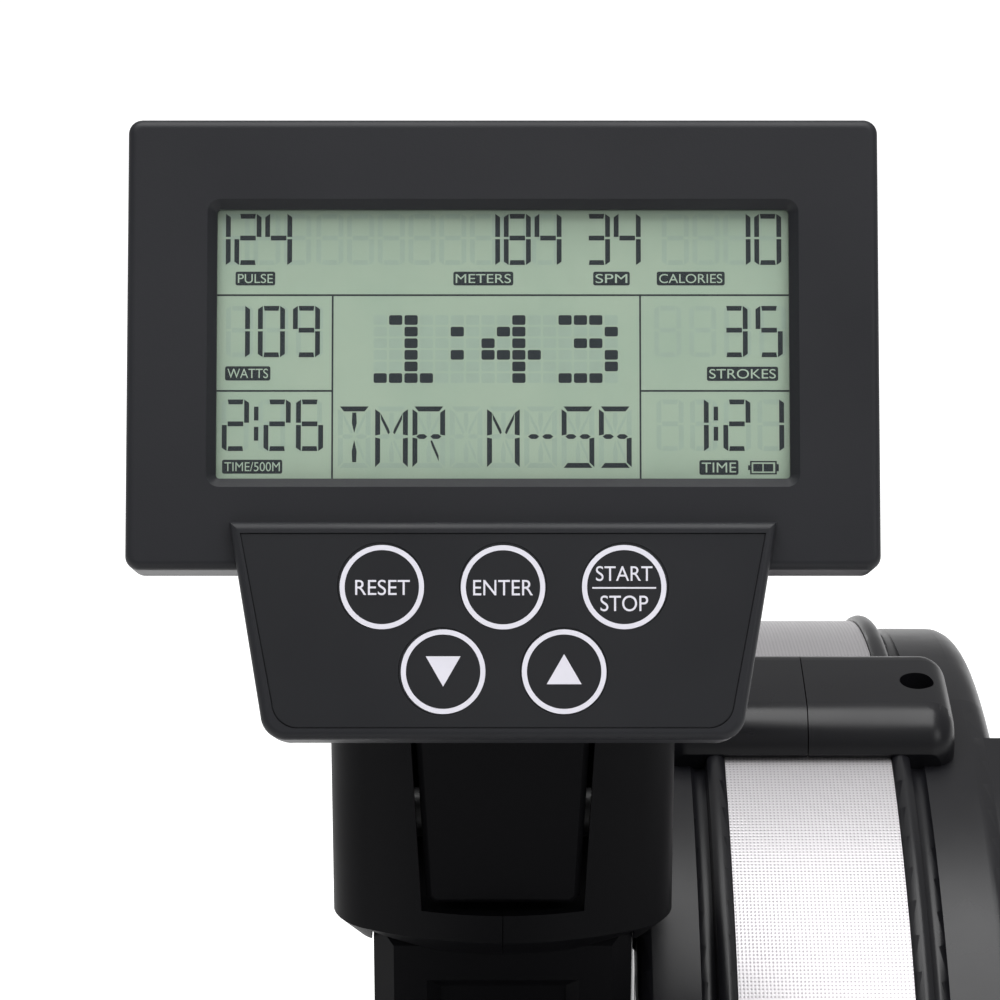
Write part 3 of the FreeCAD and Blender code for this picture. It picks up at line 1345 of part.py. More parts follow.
def export():
    """Checks every object, then writes each kept sub-part to its own STEP file."""
    doc.recompute()
    bad = [o.Label for o in doc.Objects if "Invalid" in o.State or "Error" in o.State]
    if bad:
        raise ValueError(f"these objects failed to build: {bad}")
    for obj in kept:
        if obj.Shape.isNull() or not obj.Shape.isValid() or not obj.Shape.Solids:
            raise ValueError(f"{obj.Label} has no valid solid")
    os.makedirs("parts", exist_ok=True)
    for obj in kept:
        obj.Shape.exportStep(os.path.join("parts", f"{obj.Label}.step"))
    print(f"{len(kept)} sub-parts, {len(doc.Objects)} objects")


fill_sheet()
base_frame()
fold_knob()
rail()
seat()
footrests()
drive_case()
drive_frame()
drive_train()
drum()
fan()
shroud()
arm()
console()
handle()
wheels()
export()
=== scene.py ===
"""Looks for the air rowing machine: finishes, the display and keypad, the soft pieces, small fittings, stage,
lights and camera. Metres; +X to the rower's right, +Y to the fan, +Z up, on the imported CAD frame.
"""

import math

import bmesh
import bpy
from mathutils import Matrix, Vector


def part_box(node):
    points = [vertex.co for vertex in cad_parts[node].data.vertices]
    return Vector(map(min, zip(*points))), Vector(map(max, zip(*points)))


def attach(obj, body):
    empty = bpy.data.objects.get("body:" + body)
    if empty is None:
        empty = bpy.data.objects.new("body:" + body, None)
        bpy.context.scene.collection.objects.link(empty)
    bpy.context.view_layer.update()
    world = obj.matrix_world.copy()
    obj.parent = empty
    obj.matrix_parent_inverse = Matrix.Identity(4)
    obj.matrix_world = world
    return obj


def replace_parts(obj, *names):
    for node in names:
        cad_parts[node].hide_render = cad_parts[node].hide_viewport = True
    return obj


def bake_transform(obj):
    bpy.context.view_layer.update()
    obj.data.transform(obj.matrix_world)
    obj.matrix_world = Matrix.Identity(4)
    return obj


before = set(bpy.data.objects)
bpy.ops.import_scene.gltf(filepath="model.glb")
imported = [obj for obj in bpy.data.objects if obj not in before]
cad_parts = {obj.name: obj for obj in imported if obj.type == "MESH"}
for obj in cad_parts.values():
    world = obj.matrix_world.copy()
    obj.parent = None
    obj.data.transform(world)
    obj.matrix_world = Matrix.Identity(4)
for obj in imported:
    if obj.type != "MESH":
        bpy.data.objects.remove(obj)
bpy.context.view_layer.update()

MM = 0.001

CONSOLE_ORIGIN = Vector((0, 0.809, 0.830))
CONSOLE_TILT = math.radians(-27.4)
CONSOLE = Matrix.Translation(CONSOLE_ORIGIN) @ Matrix.Rotation(CONSOLE_TILT, 4, "X")
AXLE = Vector((0, 0.948, 0.420))
DRUM_X = 0.088
DRUM_LEFT, DRUM_RIGHT = DRUM_X - 0.051, DRUM_X + 0.056
CASE_HALF = 0.0348
STRAP_Z = 0.575


# ---- finishes -------------------------------------------------------------------------------------------


class Finish:
    """A node material on one Principled shader, with helpers that wire procedural detail into it."""

    def __init__(self, name, color, roughness, metallic=0.0, **sockets):
        self.material = bpy.data.materials.new(name)
        self.material.use_nodes = True
        self.tree = self.material.node_tree
        self.shader = self.tree.nodes["Principled BSDF"]
        self.color = color
        self.shader.inputs["Base Color"].default_value = (*color, 1)
        self.shader.inputs["Roughness"].default_value = roughness
        self.shader.inputs["Metallic"].default_value = metallic
        for socket, value in sockets.items():
            self.shader.inputs[socket.replace("_", " ")].default_value = value
        self.coords = self.tree.nodes.new("ShaderNodeTexCoord").outputs["Object"]
        self.normal = None

    def node(self, kind, **inputs):
        n = self.tree.nodes.new(kind)
        for key, value in inputs.items():
            self.feed(n.inputs[int(key[1:]) if key[1:].isdigit() else key.replace("_", " ")], value)
        return n

    def feed(self, socket, value):
        if isinstance(value, bpy.types.NodeSocket):
            self.tree.links.new(value, socket)
        else:
            socket.default_value = value

    def math(self, operation, a, b=0.0):
        n = self.node("ShaderNodeMath", i0=a, i1=b)
        n.operation = operation
        return n.outputs[0]

    def stretched(self, x, y, z):
        n = self.node("ShaderNodeMapping", Vector=self.coords)
        n.inputs["Scale"].default_value = (x, y, z)
        return n.outputs[0]

    def noise(self, scale, detail=3.0, vector=None):
        n = self.node("ShaderNodeTexNoise", Vector=vector or self.coords, Scale=scale, Detail=detail)
        return n.outputs["Fac"]

    def cells(self, scale):
        n = self.node("ShaderNodeTexVoronoi", Vector=self.coords, Scale=scale)
        n.feature = "DISTANCE_TO_EDGE"
        return n.outputs["Distance"]

    def spread(self, value, low, high, start=0.3, end=0.7):
        n = self.node("ShaderNodeMapRange", Value=value, From_Min=start, From_Max=end, To_Min=low,
                      To_Max=high)
        return n.outputs["Result"]

    def vary_color(self, fac, other):
        n = self.tree.nodes.new("ShaderNodeMix")
        n.data_type = "RGBA"
        self.feed(n.inputs[0], fac)
        n.inputs[6].default_value = (*self.color, 1)
        n.inputs[7].default_value = (*other, 1)
        self.tree.links.new(n.outputs[2], self.shader.inputs["Base Color"])
        return self

    def vary_roughness(self, value):
        self.feed(self.shader.inputs["Roughness"], value)
        return self

    def bump(self, height, strength, distance):
        n = self.node("ShaderNodeBump", Height=height, Strength=strength, Distance=distance)
        if self.normal:
            self.tree.links.new(self.normal, n.inputs["Normal"])
        self.normal = n.outputs["Normal"]
        self.tree.links.new(self.normal, self.shader.inputs["Normal"])
        return self


def moulded(name, color, roughness, grain=2600, strength=0.12, specular=0.28):
    """Injection-moulded plastic: spark-eroded grain, faint flow marks, and slightly uneven gloss."""
    f = Finish(name, color, roughness, Specular_IOR_Level=specular)
    worn = tuple(min(c * 1.3 + 0.001, 1) for c in color)
    f.vary_color(f.spread(f.noise(9, 4), 0, 0.5), worn)
    f.vary_roughness(f.spread(f.noise(22, 5), roughness - 0.05, roughness + 0.07))
    f.bump(f.noise(grain, 2), strength, 0.00012)
    return f.material


def painted(name, color, roughness=0.34):
    """Powder-coated steel: fine orange peel over the colour."""
    f = Finish(name, color, roughness, Coat_Weight=0.25, Coat_Roughness=0.25)
    f.vary_color(f.spread(f.noise(6, 5), 0, 0.4), tuple(c * 1.4 + 0.001 for c in color))
    f.vary_roughness(f.spread(f.noise(40, 3), roughness - 0.06, roughness + 0.1))
    f.bump(f.noise(900, 3), 0.18, 0.0002)
    f.bump(f.noise(120, 2), 0.06, 0.0006)
    return f.material


def brushed(name, color, roughness, axis="y", strength=0.12):
    """Drawn or brushed metal: long fine lines along one axis, with patches of duller wear."""
    f = Finish(name, color, roughness, metallic=1.0)
    scale = {"x": (6, 900, 900), "y": (900, 6, 900), "z": (900, 900, 6)}[axis]
    lines = f.noise(1.0, 4, f.stretched(*scale))
    f.vary_color(f.spread(f.noise(14, 5), 0, 1), tuple(c * 0.84 for c in color))
    f.vary_roughness(f.spread(lines, roughness - 0.08, roughness + 0.12))
    f.bump(lines, strength, 0.00008)
    return f.material


def rubber(name, color=(0.022, 0.022, 0.023), roughness=0.72):
    f = Finish(name, color, roughness, Specular_IOR_Level=0.3)
    f.vary_color(f.spread(f.noise(18, 6), 0, 0.7), tuple(c * 2.2 for c in color))
    f.bump(f.noise(1500, 4), 0.3, 0.0002)
    return f.material


def webbing(name, color, along="y"):
    """Woven strap: ribs across the strap's length, with a finer twill between them."""
    f = Finish(name, color, 0.82, Sheen_Weight=0.25, Sheen_Roughness=0.5)
    bands = f.node("ShaderNodeTexWave", Vector=f.coords, Scale=210, Distortion=0.3, Detail=1)
    bands.bands_direction = along.upper()
    weft = f.node("ShaderNodeTexWave", Vector=f.coords, Scale=330, Distortion=0.6, Detail=2)
    weft.bands_direction = "X"
    both = f.math("MULTIPLY", bands.outputs["Fac"], weft.outputs["Fac"])
    f.vary_color(f.spread(both, 0, 0.8, 0.1, 0.9), tuple(c * 2.1 + 0.01 for c in color))
    f.bump(both, 0.6, 0.0005)
    return f.material


def grained_vinyl(name, color):
    """Upholstery vinyl: pebble grain with creases between, faded a little in random patches."""
    f = Finish(name, color, 0.46, Specular_IOR_Level=0.4, Coat_Weight=0.08, Coat_Roughness=0.4)
    pebbles = f.cells(520)
    f.vary_color(f.spread(f.noise(14, 5), 0, 0.5), tuple(c * 1.7 + 0.004 for c in color))
    f.vary_roughness(f.spread(pebbles, 0.62, 0.42, 0.0, 0.12))
    f.bump(pebbles, 0.35, 0.0004)
    f.bump(f.noise(60, 4), 0.12, 0.001)
    return f.material


MESH_PITCH, MESH_STRETCH, BAND_RADIUS = 0.0021, 0.85, 0.25


def perforated_band():
    """The drum's band: pale satin metal with a fine diamond mesh, laid out round the axle."""
    f = Finish("mesh_band_finish", (0.50, 0.485, 0.50), 0.36, metallic=0.7)
    split = f.node("ShaderNodeSeparateXYZ", Vector=f.coords)
    y = f.math("SUBTRACT", split.outputs["Y"], AXLE.y)
    z = f.math("SUBTRACT", split.outputs["Z"], AXLE.z)
    run = f.math("MULTIPLY", f.math("ARCTAN2", y, z), BAND_RADIUS)
    wave = 2 * math.pi / MESH_PITCH
    across = f.math("MULTIPLY", f.math("SUBTRACT", split.outputs["X"], DRUM_X), wave)
    run = f.math("MULTIPLY", run, wave * MESH_STRETCH)
    one = f.math("SINE", f.math("ADD", across, run))
    two = f.math("SINE", f.math("SUBTRACT", across, run))
    holes = f.math("MULTIPLY", one, two)
    f.vary_color(f.spread(holes, 0.0, 1.0, 0.25, 0.8), (0.33, 0.32, 0.33))
    f.bump(f.spread(holes, 1.0, 0.0, 0.0, 0.9), 0.4, 0.0002)
    return f.material


def clear_lens():
    """A thin clear window: it passes light straight through and keeps a weak reflection."""
    material = bpy.data.materials.new("screen_lens_finish")
    material.use_nodes = True
    tree = material.node_tree
    tree.nodes.remove(tree.nodes["Principled BSDF"])
    clear = tree.nodes.new("ShaderNodeBsdfTransparent")
    gloss = tree.nodes.new("ShaderNodeBsdfGlossy")
    gloss.inputs["Roughness"].default_value = 0.12
    blend = tree.nodes.new("ShaderNodeMixShader")
    blend.inputs[0].default_value = 0.025
    tree.links.new(clear.outputs[0], blend.inputs[1])
    tree.links.new(gloss.outputs[0], blend.inputs[2])
    tree.links.new(blend.outputs[0], tree.nodes["Material Output"].inputs["Surface"])
    return material


def display_ground():
    """The display's pale green ground, with the soft mottling of its reflector."""
    f = Finish("lcd_ground", (0.285, 0.376, 0.292), 0.55, Specular_IOR_Level=0.15)
    f.vary_color(f.spread(f.noise(55, 6), 0, 1, 0.25, 0.75), (0.319, 0.403, 0.313))
    f.bump(f.noise(2500, 1), 0.08, 0.0001)
    return f.material


def print_ink(name, color, roughness=0.5, glow=0.0):
    """Printed or switched marks; a glow makes them emit their own colour, a painted glow though they are no
    lamp.
    """
    f = Finish(name, color, roughness, Specular_IOR_Level=0.2)
    f.vary_roughness(f.spread(f.noise(300, 3), roughness - 0.05, roughness + 0.05))
    f.vary_color(f.spread(f.noise(220, 3), 0, 0.4), tuple(min(c * 1.12 + 0.003, 1) for c in color))
    # The glow is painted light: the mark emits its own colour though it is no lamp.
    if glow:
        f.shader.inputs["Emission Color"].default_value = (*color, 1)
        f.shader.inputs["Emission Strength"].default_value = glow
    return f.material


BLACK = (0.0050, 0.0050, 0.0058)
LOOKS = {
    "frame_paint": painted("frame_paint_finish", (0.010, 0.010, 0.011)),
    "zinc": brushed("zinc_finish", (0.62, 0.62, 0.64), 0.34, "x"),
    "rail": brushed("rail_finish", (0.66, 0.67, 0.69), 0.32, "y"),
    "track": brushed("track_finish", (0.72, 0.72, 0.73), 0.22, "y", 0.2),
    "case": moulded("case_finish", BLACK, 0.44, specular=0.05),
    "drum": moulded("drum_finish", (0.0060, 0.0060, 0.0075), 0.30, 3200, 0.08, 0.30),
    "console": moulded("console_finish", (0.0105, 0.0110, 0.0135), 0.48, 2200, 0.16),
    "overlay": moulded("overlay_finish", (0.0100, 0.0105, 0.0125), 0.42, 3600, 0.07),
    "fan": moulded("fan_finish", (0.035, 0.035, 0.038), 0.5),
    "knob": moulded("knob_finish", (0.024, 0.024, 0.026), 0.55, 1400, 0.3),
    "seat_shell": moulded("seat_shell_finish", (0.026, 0.026, 0.028), 0.5),
    "footrest": moulded("footrest_finish", (0.032, 0.032, 0.034), 0.58, 1500, 0.3),
    "nylon": moulded("nylon_finish", (0.70, 0.70, 0.67), 0.42, 1800, 0.08),
    "dark_bolt": painted("dark_bolt_finish", (0.012, 0.012, 0.013), 0.42),
    "iron": brushed("iron_finish", (0.16, 0.16, 0.17), 0.6, "x"),
    "rubber": rubber("rubber_finish"),
    "grip": rubber("grip_finish", (0.026, 0.026, 0.027), 0.85),
    "band": perforated_band(),
    "lens": clear_lens(),
    "lcd": display_ground(),
    "board": moulded("board_finish", (0.03, 0.16, 0.07), 0.4),
    "strap": webbing("strap_finish", (0.022, 0.022, 0.024)),
    "vinyl": grained_vinyl("vinyl_finish", (0.020, 0.020, 0.022)),
    "thread": print_ink("thread_finish", (0.09, 0.09, 0.095), 0.8),
    "segments": print_ink("segment_finish", (0.008, 0.014, 0.018), 0.6),
    "ghost": print_ink("ghost_finish", (0.265, 0.350, 0.283), 0.6),
    "tag_ink": print_ink("tag_ink_finish", (0.33, 0.42, 0.33), 0.6),
    # White print: its pale colour is real, and its faint emission is a painted glow.
    "white_print": print_ink("white_print_finish", (0.62, 0.61, 0.67), 0.45, 0.05),
}

PAINT = {
    "frame_paint": ("base_frame", "frame_feet", "rear_leg", "footrest_bar", "drive_frame", "handle_bar"),
    "dark_bolt": ("pivot_bolts",),
    "zinc": ("axle_bearings", "fan_axle", "one_way_clutch", "recoil_spring", "seat_carriage"),
    "rail": ("rail_beam",),
    "track": ("rail_track",),
    "case": ("drive_case_left", "drive_case_right", "column_cover", "shroud_left", "shroud_right",
             "console_arm",
             "rail_end_cap", "handle_yoke"),
    "drum": ("drum_shell_left", "drum_shell_right"),
    "console": ("console_bezel", "console_back", "battery_door"),
    "overlay": ("keypad_overlay", "key_reset", "key_enter", "key_start_stop", "key_down", "key_up"),
    "fan": ("fan_wheel", "strap_spool"),
    "knob": ("fold_knob", "damper_ring"),
    "seat_shell": ("seat_pan",),
    "footrest": ("foot_plates", "heel_cup_left", "heel_cup_right"),
    "nylon": ("seat_rollers_front", "seat_rollers_rear", "rail_glides", "guide_roller"),
    "iron": ("flywheel_plate",),
    "rubber": ("frame_foot_caps", "rear_foot_caps", "seat_stops", "transport_wheels"),
    "grip": ("handle_grips",),
    "band": ("mesh_band",),
    "lens": ("screen_lens",),
    "lcd": ("lcd_module",),
    "board": ("key_board",),
}


def paint_nodes():
    for look, nodes in PAINT.items():
        for name in nodes:
            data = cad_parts[name].data
            if not data.materials:
                data.materials.append(LOOKS[look])
            for k in range(len(data.materials)):
                data.materials[k] = LOOKS[look]


# ---- mesh helpers ---------------------------------------------------------------------------------------


def piece(name, verts, faces, look, body, smooth=False):
    """A new mesh piece that rides on a body."""
    mesh = bpy.data.meshes.new(name)
    mesh.from_pydata([tuple(v) for v in verts], [], faces)
    mesh.validate()
    obj = bpy.data.objects.new(name, mesh)
    bpy.context.scene.collection.objects.link(obj)
    bm = bmesh.new()
    bm.from_mesh(mesh)
    bmesh.ops.recalc_face_normals(bm, faces=bm.faces)
    bm.to_mesh(mesh)
    bm.free()
    mesh.materials.append(LOOKS[look])
    for polygon in mesh.polygons:
        polygon.use_smooth = smooth
    if body:
        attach(obj, body)
    return obj


class Parts:
    """Collects several shapes into one mesh."""

    def __init__(self):
        self.verts, self.faces = [], []

    def add(self, verts, faces, matrix=None):
        start = len(self.verts)
        self.verts += [matrix @ Vector(v) if matrix else Vector(v) for v in verts]
        self.faces += [[i + start for i in f] for f in faces]

    def lathe(self, profile, matrix, count=32, hexed=()):
        """Turns (radius, height) points about the matrix's z axis; hexed rings become hexagons."""
        verts, faces = [], []
        for k, (radius, height) in enumerate(profile):
            for i in range(count):
                angle = 2 * math.pi * i / count
                r = radius
                if k in hexed:
                    r *= math.cos(math.pi / 6) / math.cos(angle % (math.pi / 3) - math.pi / 6)
                verts.append((r * math.cos(angle), r * math.sin(angle), height))
        for k in range(len(profile) - 1):
            for i in range(count):
                j = (i + 1) % count
                faces.append([k * count + i, k * count + j, (k + 1) * count + j, (k + 1) * count + i])
        faces.append(list(range(count))[::-1])
        faces.append([(len(profile) - 1) * count + i for i in range(count)])
        self.add(verts, faces, matrix)

    def slab(self, outline, low, high, matrix, bevel=0.0):
        """A flat outline (x, y) between two heights, with its top edge drawn in by the bevel."""
        count = len(outline)
        cx = sum(p[0] for p in outline) / count
        cy = sum(p[1] for p in outline) / count
        rings = [(low, 0.0), (high - bevel, 0.0), (high, bevel)] if bevel else [(low, 0.0), (high, 0.0)]
        verts = []
        for height, inset in rings:
            for x, y in outline:
                reach = max(math.hypot(x - cx, y - cy), 1e-9)
                shrink = 1 - inset / reach
                verts.append((cx + (x - cx) * shrink, cy + (y - cy) * shrink, height))
        faces = []
        for k in range(len(rings) - 1):
            for i in range(count):
                j = (i + 1) % count
                faces.append([k * count + i, k * count + j, (k + 1) * count + j, (k + 1) * count + i])
        faces.append(list(range(count))[::-1])
        faces.append([(len(rings) - 1) * count + i for i in range(count)])
        self.add(verts, faces, matrix)

    def ribbon(self, path, side, width, thick, normals=None):
        """A strap along a path of points: width along side, thickness along each point's normal."""
        half = width / 2
        section = [(-half, 0.25), (-half + thick * 0.5, 0.5), (half - thick * 0.5, 0.5), (half, 0.25),
                   (half, -0.25), (half - thick * 0.5, -0.5), (-half + thick * 0.5, -0.5), (-half, -0.25)]
        across, count = 8, len(path)
        verts = []
        for k, point in enumerate(path):
            ahead = path[min(k + 1, count - 1)] - path[max(k - 1, 0)]
            normal = normals[k] if normals else side.cross(ahead).normalized()
            verts += [point + side * u + normal * (v * thick) for u, v in section]
        faces = []
        for k in range(count - 1):
            for i in range(across):
                j = (i + 1) % across
                faces.append([k * across + i, k * across + j, (k + 1) * across + j, (k + 1) * across + i])
        faces.append(list(range(across))[::-1])
        faces.append([(count - 1) * across + i for i in range(across)])
        self.add(verts, faces)

    def tube(self, path, radius, count=10, closed=False):
        """A round tube along a path of points."""
        verts, faces = [], []
        total = len(path)
        for k, point in enumerate(path):
            after = path[(k + 1) % total] if closed else path[min(k + 1, total - 1)]
            before = path[k - 1] if closed or k else path[0]
            ahead = (after - before).normalized()
            up = Vector((0, 0, 1)) if abs(ahead.z) < 0.9 else Vector((0, 1, 0))
            a = ahead.cross(up).normalized()
            b = a.cross(ahead)
            for i in range(count):
                angle = 2 * math.pi * i / count
                verts.append(point + (a * math.cos(angle) + b * math.sin(angle)) * radius)
        for k in range(total if closed else total - 1):
            n = (k + 1) % total
            for i in range(count):
                j = (i + 1) % count
                faces.append([k * count + i, k * count + j, n * count + j, n * count + i])
        if not closed:
            faces.append(list(range(count))[::-1])
            faces.append([(total - 1) * count + i for i in range(count)])
        self.add(verts, faces)

    def build(self, name, look, body, slot, smooth=False):
        return piece(name, self.verts, self.faces, look, body, smooth)


def facing(point, direction, spin=0.0):
    """A frame at a point whose z axis looks along a direction."""
    turn = Vector(direction).to_track_quat("Z", "Y").to_matrix().to_4x4()
    return Matrix.Translation(Vector(point)) @ turn @ Matrix.Rotation(spin, 4, "Z")


def arc_points(cx, cy, radius, start, end, steps):
    return [(cx + radius * math.cos(math.radians(start + (end - start) * k / steps)),
             cy + radius * math.sin(math.radians(start + (end - start) * k / steps)))
            for k in range(steps + 1)]


def round_rect(x0, y0, x1, y1, radius, steps=5):
    corners = [(x1 - radius, y0 + radius, -90), (x1 - radius, y1 - radius, 0),
               (x0 + radius, y1 - radius, 90), (x0 + radius, y0 + radius, 180)]
    return [p for cx, cy, start in corners for p in arc_points(cx, cy, radius, start, start + 90, steps)]


def flat_text(text):
    """A word as flat faces: its points, its faces, and its lowest corner and size."""
    curve = bpy.data.curves.new("letters", "FONT")
    curve.body = text
    obj = bpy.data.objects.new("letters", curve)
    bpy.context.scene.collection.objects.link(obj)
    mesh = bpy.data.meshes.new_from_object(obj.evaluated_get(bpy.context.evaluated_depsgraph_get()))
    bpy.data.objects.remove(obj)
    points = [(v.co.x, v.co.y) for v in mesh.vertices]
    faces = [list(p.vertices) for p in mesh.polygons]
    bpy.data.meshes.remove(mesh)
    xs, ys = zip(*points)
    return points, faces, (min(xs), min(ys)), (max(xs) - min(xs), max(ys) - min(ys))


def lettering(parts, text, x0, z0, x1, z1, depth):
    """Text fitted to a box on the console's face, in millimetres, as flat letters."""
    points, faces, corner, size = flat_text(text)
    sx, sz = (x1 - x0) / size[0], (z1 - z0) / size[1]
    flat = [((x0 + (x - corner[0]) * sx) * MM, depth * MM, (z0 + (y - corner[1]) * sz) * MM)
            for x, y in points]
    parts.add(flat, faces, CONSOLE)


# ---- display --------------------------------------------------------------------------------------------


SEVEN = {
    "0": "abcdef", "1": "bc", "2": "abged", "3": "abgcd", "4": "fgbc",
    "5": "afgcd", "6": "afgedc", "7": "abc", "8": "abcdefg", "9": "abcdfg",
}
DIGIT_HEIGHT, DIGIT_WIDTH = 13.0, 6.8
DOTS_X, DOTS_TOP, DOT_PITCH = -32.5, 7.75, 3.87
LINE_X, LINE_TOP, LINE_PITCH = -41.4, -15.35, 9.35
STROKE = 1.22


class Display:
    """Flat marks on the display, drawn in millimetres on the console's face: x to the right, z up."""

    def __init__(self, depth):
        self.depth = depth
        self.parts = Parts()

    def shape(self, outline):
        verts = [(x * MM, self.depth * MM, z * MM) for x, z in outline]
        self.parts.add(verts, [list(range(len(verts)))], CONSOLE)

    def bar(self, x0, z0, x1, z1):
        self.shape([(x0, z0), (x1, z0), (x1, z1), (x0, z1)])

    def digit(self, x, top, char, width):
        """A seven-segment digit whose left edge is x."""
        s, gap, slope = STROKE, 0.28, 0.85
        low, middle, right = top - DIGIT_HEIGHT, top - DIGIT_HEIGHT / 2 + 0.35, x + width
        on = SEVEN[char]
        for letter, edge, inner in (("f", x, x + s), ("b", right, right - s)):
            if letter in on:
                self.shape([(edge, top - slope), (inner, top), (inner, middle + gap), (edge, middle + gap)])
        for letter, edge, inner in (("e", x, x + s), ("c", right, right - s)):
            if letter in on:
                self.shape([(edge, low + slope), (inner, low), (inner, middle - gap), (edge, middle - gap)])
        start, end = x + s + 0.22, right - s - 0.22
        if "a" in on:
            self.shape([(start, top), (end, top), (end - 0.2, top - s), (start + 0.2, top - s)])
        if "d" in on:
            self.shape([(start + 0.2, low + s), (end - 0.2, low + s), (end, low), (start, low)])
        if "g" in on:
            self.bar(start, middle - s / 2, end, middle + s / 2)

    def number(self, text, right, top, pitch, width=DIGIT_WIDTH):
        for k, char in enumerate(reversed(text)):
            if char != " ":
                self.digit(right - k * pitch - width, top, char, width)

    def colon(self, x, top):
        self.bar(x - 0.56, top - 5.3, x + 0.56, top - 1.8)
        self.bar(x - 0.56, top - 10.4, x + 0.56, top - 6.9)

    def dots(self, x, top, rows):
        """A coarse dot pattern of round-cornered cells."""
        for r, row in enumerate(rows):
            for c, mark in enumerate(row):
                if mark == "#":
                    left, high = x + c * DOT_PITCH, top - r * 2.94
                    self.shape(round_rect(left, high - 2.46, left + 3.32, high, 0.45, 3))

    def letter(self, x, top, strokes):
        """A fourteen-segment character, from the names of its lit strokes."""
        w, h, s = 8.2, 15.5, 1.25
        mid, low, cx = top - h / 2 + 0.15, top - h, x + w / 2
        shapes = {
            "a": [(x + 0.5, top), (x + w - 0.5, top), (x + w - 1.5, top - s), (x + 1.5, top - s)],
            "d": [(x + 1.5, low + s), (x + w - 1.5, low + s), (x + w - 0.5, low), (x + 0.5, low)],
            "f": [(x, top - 0.7), (x + s, top - 1.6), (x + s, mid + 0.5), (x, mid + 0.25)],
            "b": [(x + w, top - 0.7), (x + w - s, top - 1.6), (x + w - s, mid + 0.5), (x + w, mid + 0.25)],
            "e": [(x, low + 0.2), (x + s, low + 1.4), (x + s, mid - 0.5), (x, mid - 0.25)],
            "c": [(x + w, low + 0.2), (x + w - s, low + 1.4), (x + w - s, mid - 0.5), (x + w, mid - 0.25)],
            "g": [(x + 0.9, mid), (x + 1.7, mid + 0.6), (x + 3.0, mid + 0.6), (x + 3.75, mid),
                  (x + 3.0, mid - 0.6),
                  (x + 1.7, mid - 0.6)],
            "k": [(x + 4.45, mid), (x + 5.2, mid + 0.6), (x + 6.5, mid + 0.6), (x + 7.3, mid),
                  (x + 6.5, mid - 0.6),
                  (x + 5.2, mid - 0.6)],
            "i": [(cx - 0.5, top - s - 0.3), (cx + 0.5, top - s - 0.3), (cx + 0.62, top - 4.2),
                  (cx, mid + 0.9),
                  (cx - 0.62, top - 4.2)],
            "l": [(cx - 0.5, low + s + 0.2), (cx + 0.5, low + s + 0.2), (cx + 0.62, low + 4.2),
                  (cx, mid - 0.9),
                  (cx - 0.62, low + 4.2)],
            "h": [(x + s + 0.1, top - 1.7), (x + s + 0.25, top - 3.3), (x + 3.3, mid + 0.55),
                  (x + 3.7, mid + 1.0),
                  (x + 3.4, mid + 2.0)],
            "j": [(x + w - s - 0.1, top - 1.7), (x + w - s - 0.25, top - 3.3), (x + w - 3.3, mid + 0.55),
                  (x + w - 3.7, mid + 1.0), (x + w - 3.4, mid + 2.0)],
            "m": [(x + w - s - 0.35, low + 1.6), (x + w - s - 0.4, low + 3.2), (x + w - 3.3, mid - 0.9),
                  (x + w - 3.7, mid - 1.1), (x + w - 3.3, mid - 2.4)],
        }
        for name in strokes:
            self.shape(shapes[name])

    def build(self, name, look):
        return self.parts.build(name, look, "console", "lcd_glass")


LETTERS = {"T": "ail", "M": "febchj", "R": "afebgkm", "-": "gk", "5": "afgkcd", " ": "", "*": "abcdefgkilhjm"}
TAGS = (
    ("PULSE", -67.3, 15.3, -57.3, 18.8),
    ("METERS", -12.5, 15.3, 2.6, 18.8),
    ("SPM", 22.7, 15.3, 31.9, 18.8),
    ("CALORIES", 38.7, 15.3, 55.8, 18.8),
    ("WATTS", -69.8, -8.8, -58.4, -5.2),
    ("TIME/500M", -70.4, -32.3, -55.3, -28.8),
    ("STROKES", 51.2, -8.9, 69.1, -5.3),
    ("TIME", 49.2, -32.6, 59.0, -28.9),
)
NUMBERS = (
    ("124", -53.1, 33.5, 7.74),
    ("184", 14.75, 33.5, 7.74),
    ("34", 34.7, 33.5, 7.74),
    ("10", 70.1, 33.5, 7.74),
    ("109", -46.0, 10.1, 8.8),
    ("35", 70.3, 10.1, 8.8),
    ("26", -45.1, -13.6, 8.15),
    ("2", -63.7, -13.6, 8.15),
    ("21", 70.5, -13.6, 8.44),
    ("1", 51.6, -13.6, 8.44),
)
CLOCK = (
    (0, ".##.", "..#.", "..#.", "..#.", "..#.", "####"),
    (5, "....", "#...", "....", "#...", "....", "...."),
    (7, "..#.", ".##.", "#.#.", "####", "..#.", "..#."),
    (12, "###.", "...#", ".##.", "...#", "...#", "###."),
)


FRAME_LINES = (
    (-72.4, 12.6, 72.6, 13.05),
    (-43.05, -34.6, -42.6, 12.7),
    (34.25, -34.6, 34.7, 12.7),
    (-72.4, -11.65, -43.0, -11.2),
    (34.6, -11.65, 72.6, -11.2),
    (-72.4, -34.15, 72.6, -33.85),
)
BATTERY = (
    (61.9, -32.5, 62.3, -29.1),
    (68.2, -32.5, 68.6, -29.1),
    (62.3, -32.5, 68.2, -32.15),
    (62.3, -29.45, 68.2, -29.1),
    (68.6, -31.7, 69.1, -29.9),
    (61.4, -31.4, 61.9, -30.2),
    (62.7, -31.75, 65.0, -29.85),
    (65.3, -31.75, 67.7, -29.85),
)
UNLIT = (
    (-70.6, 33.5, 3, 7.74),
    (-47.0, 33.5, 8, 7.74),
    (40.0, 33.5, 4, 7.74),
    (-69.6, 10.1, 3, 8.8),
    (38.0, 10.1, 4, 8.8),
    (-70.6, -13.6, 3, 9.2),
    (38.5, -13.6, 4, 8.44),
)


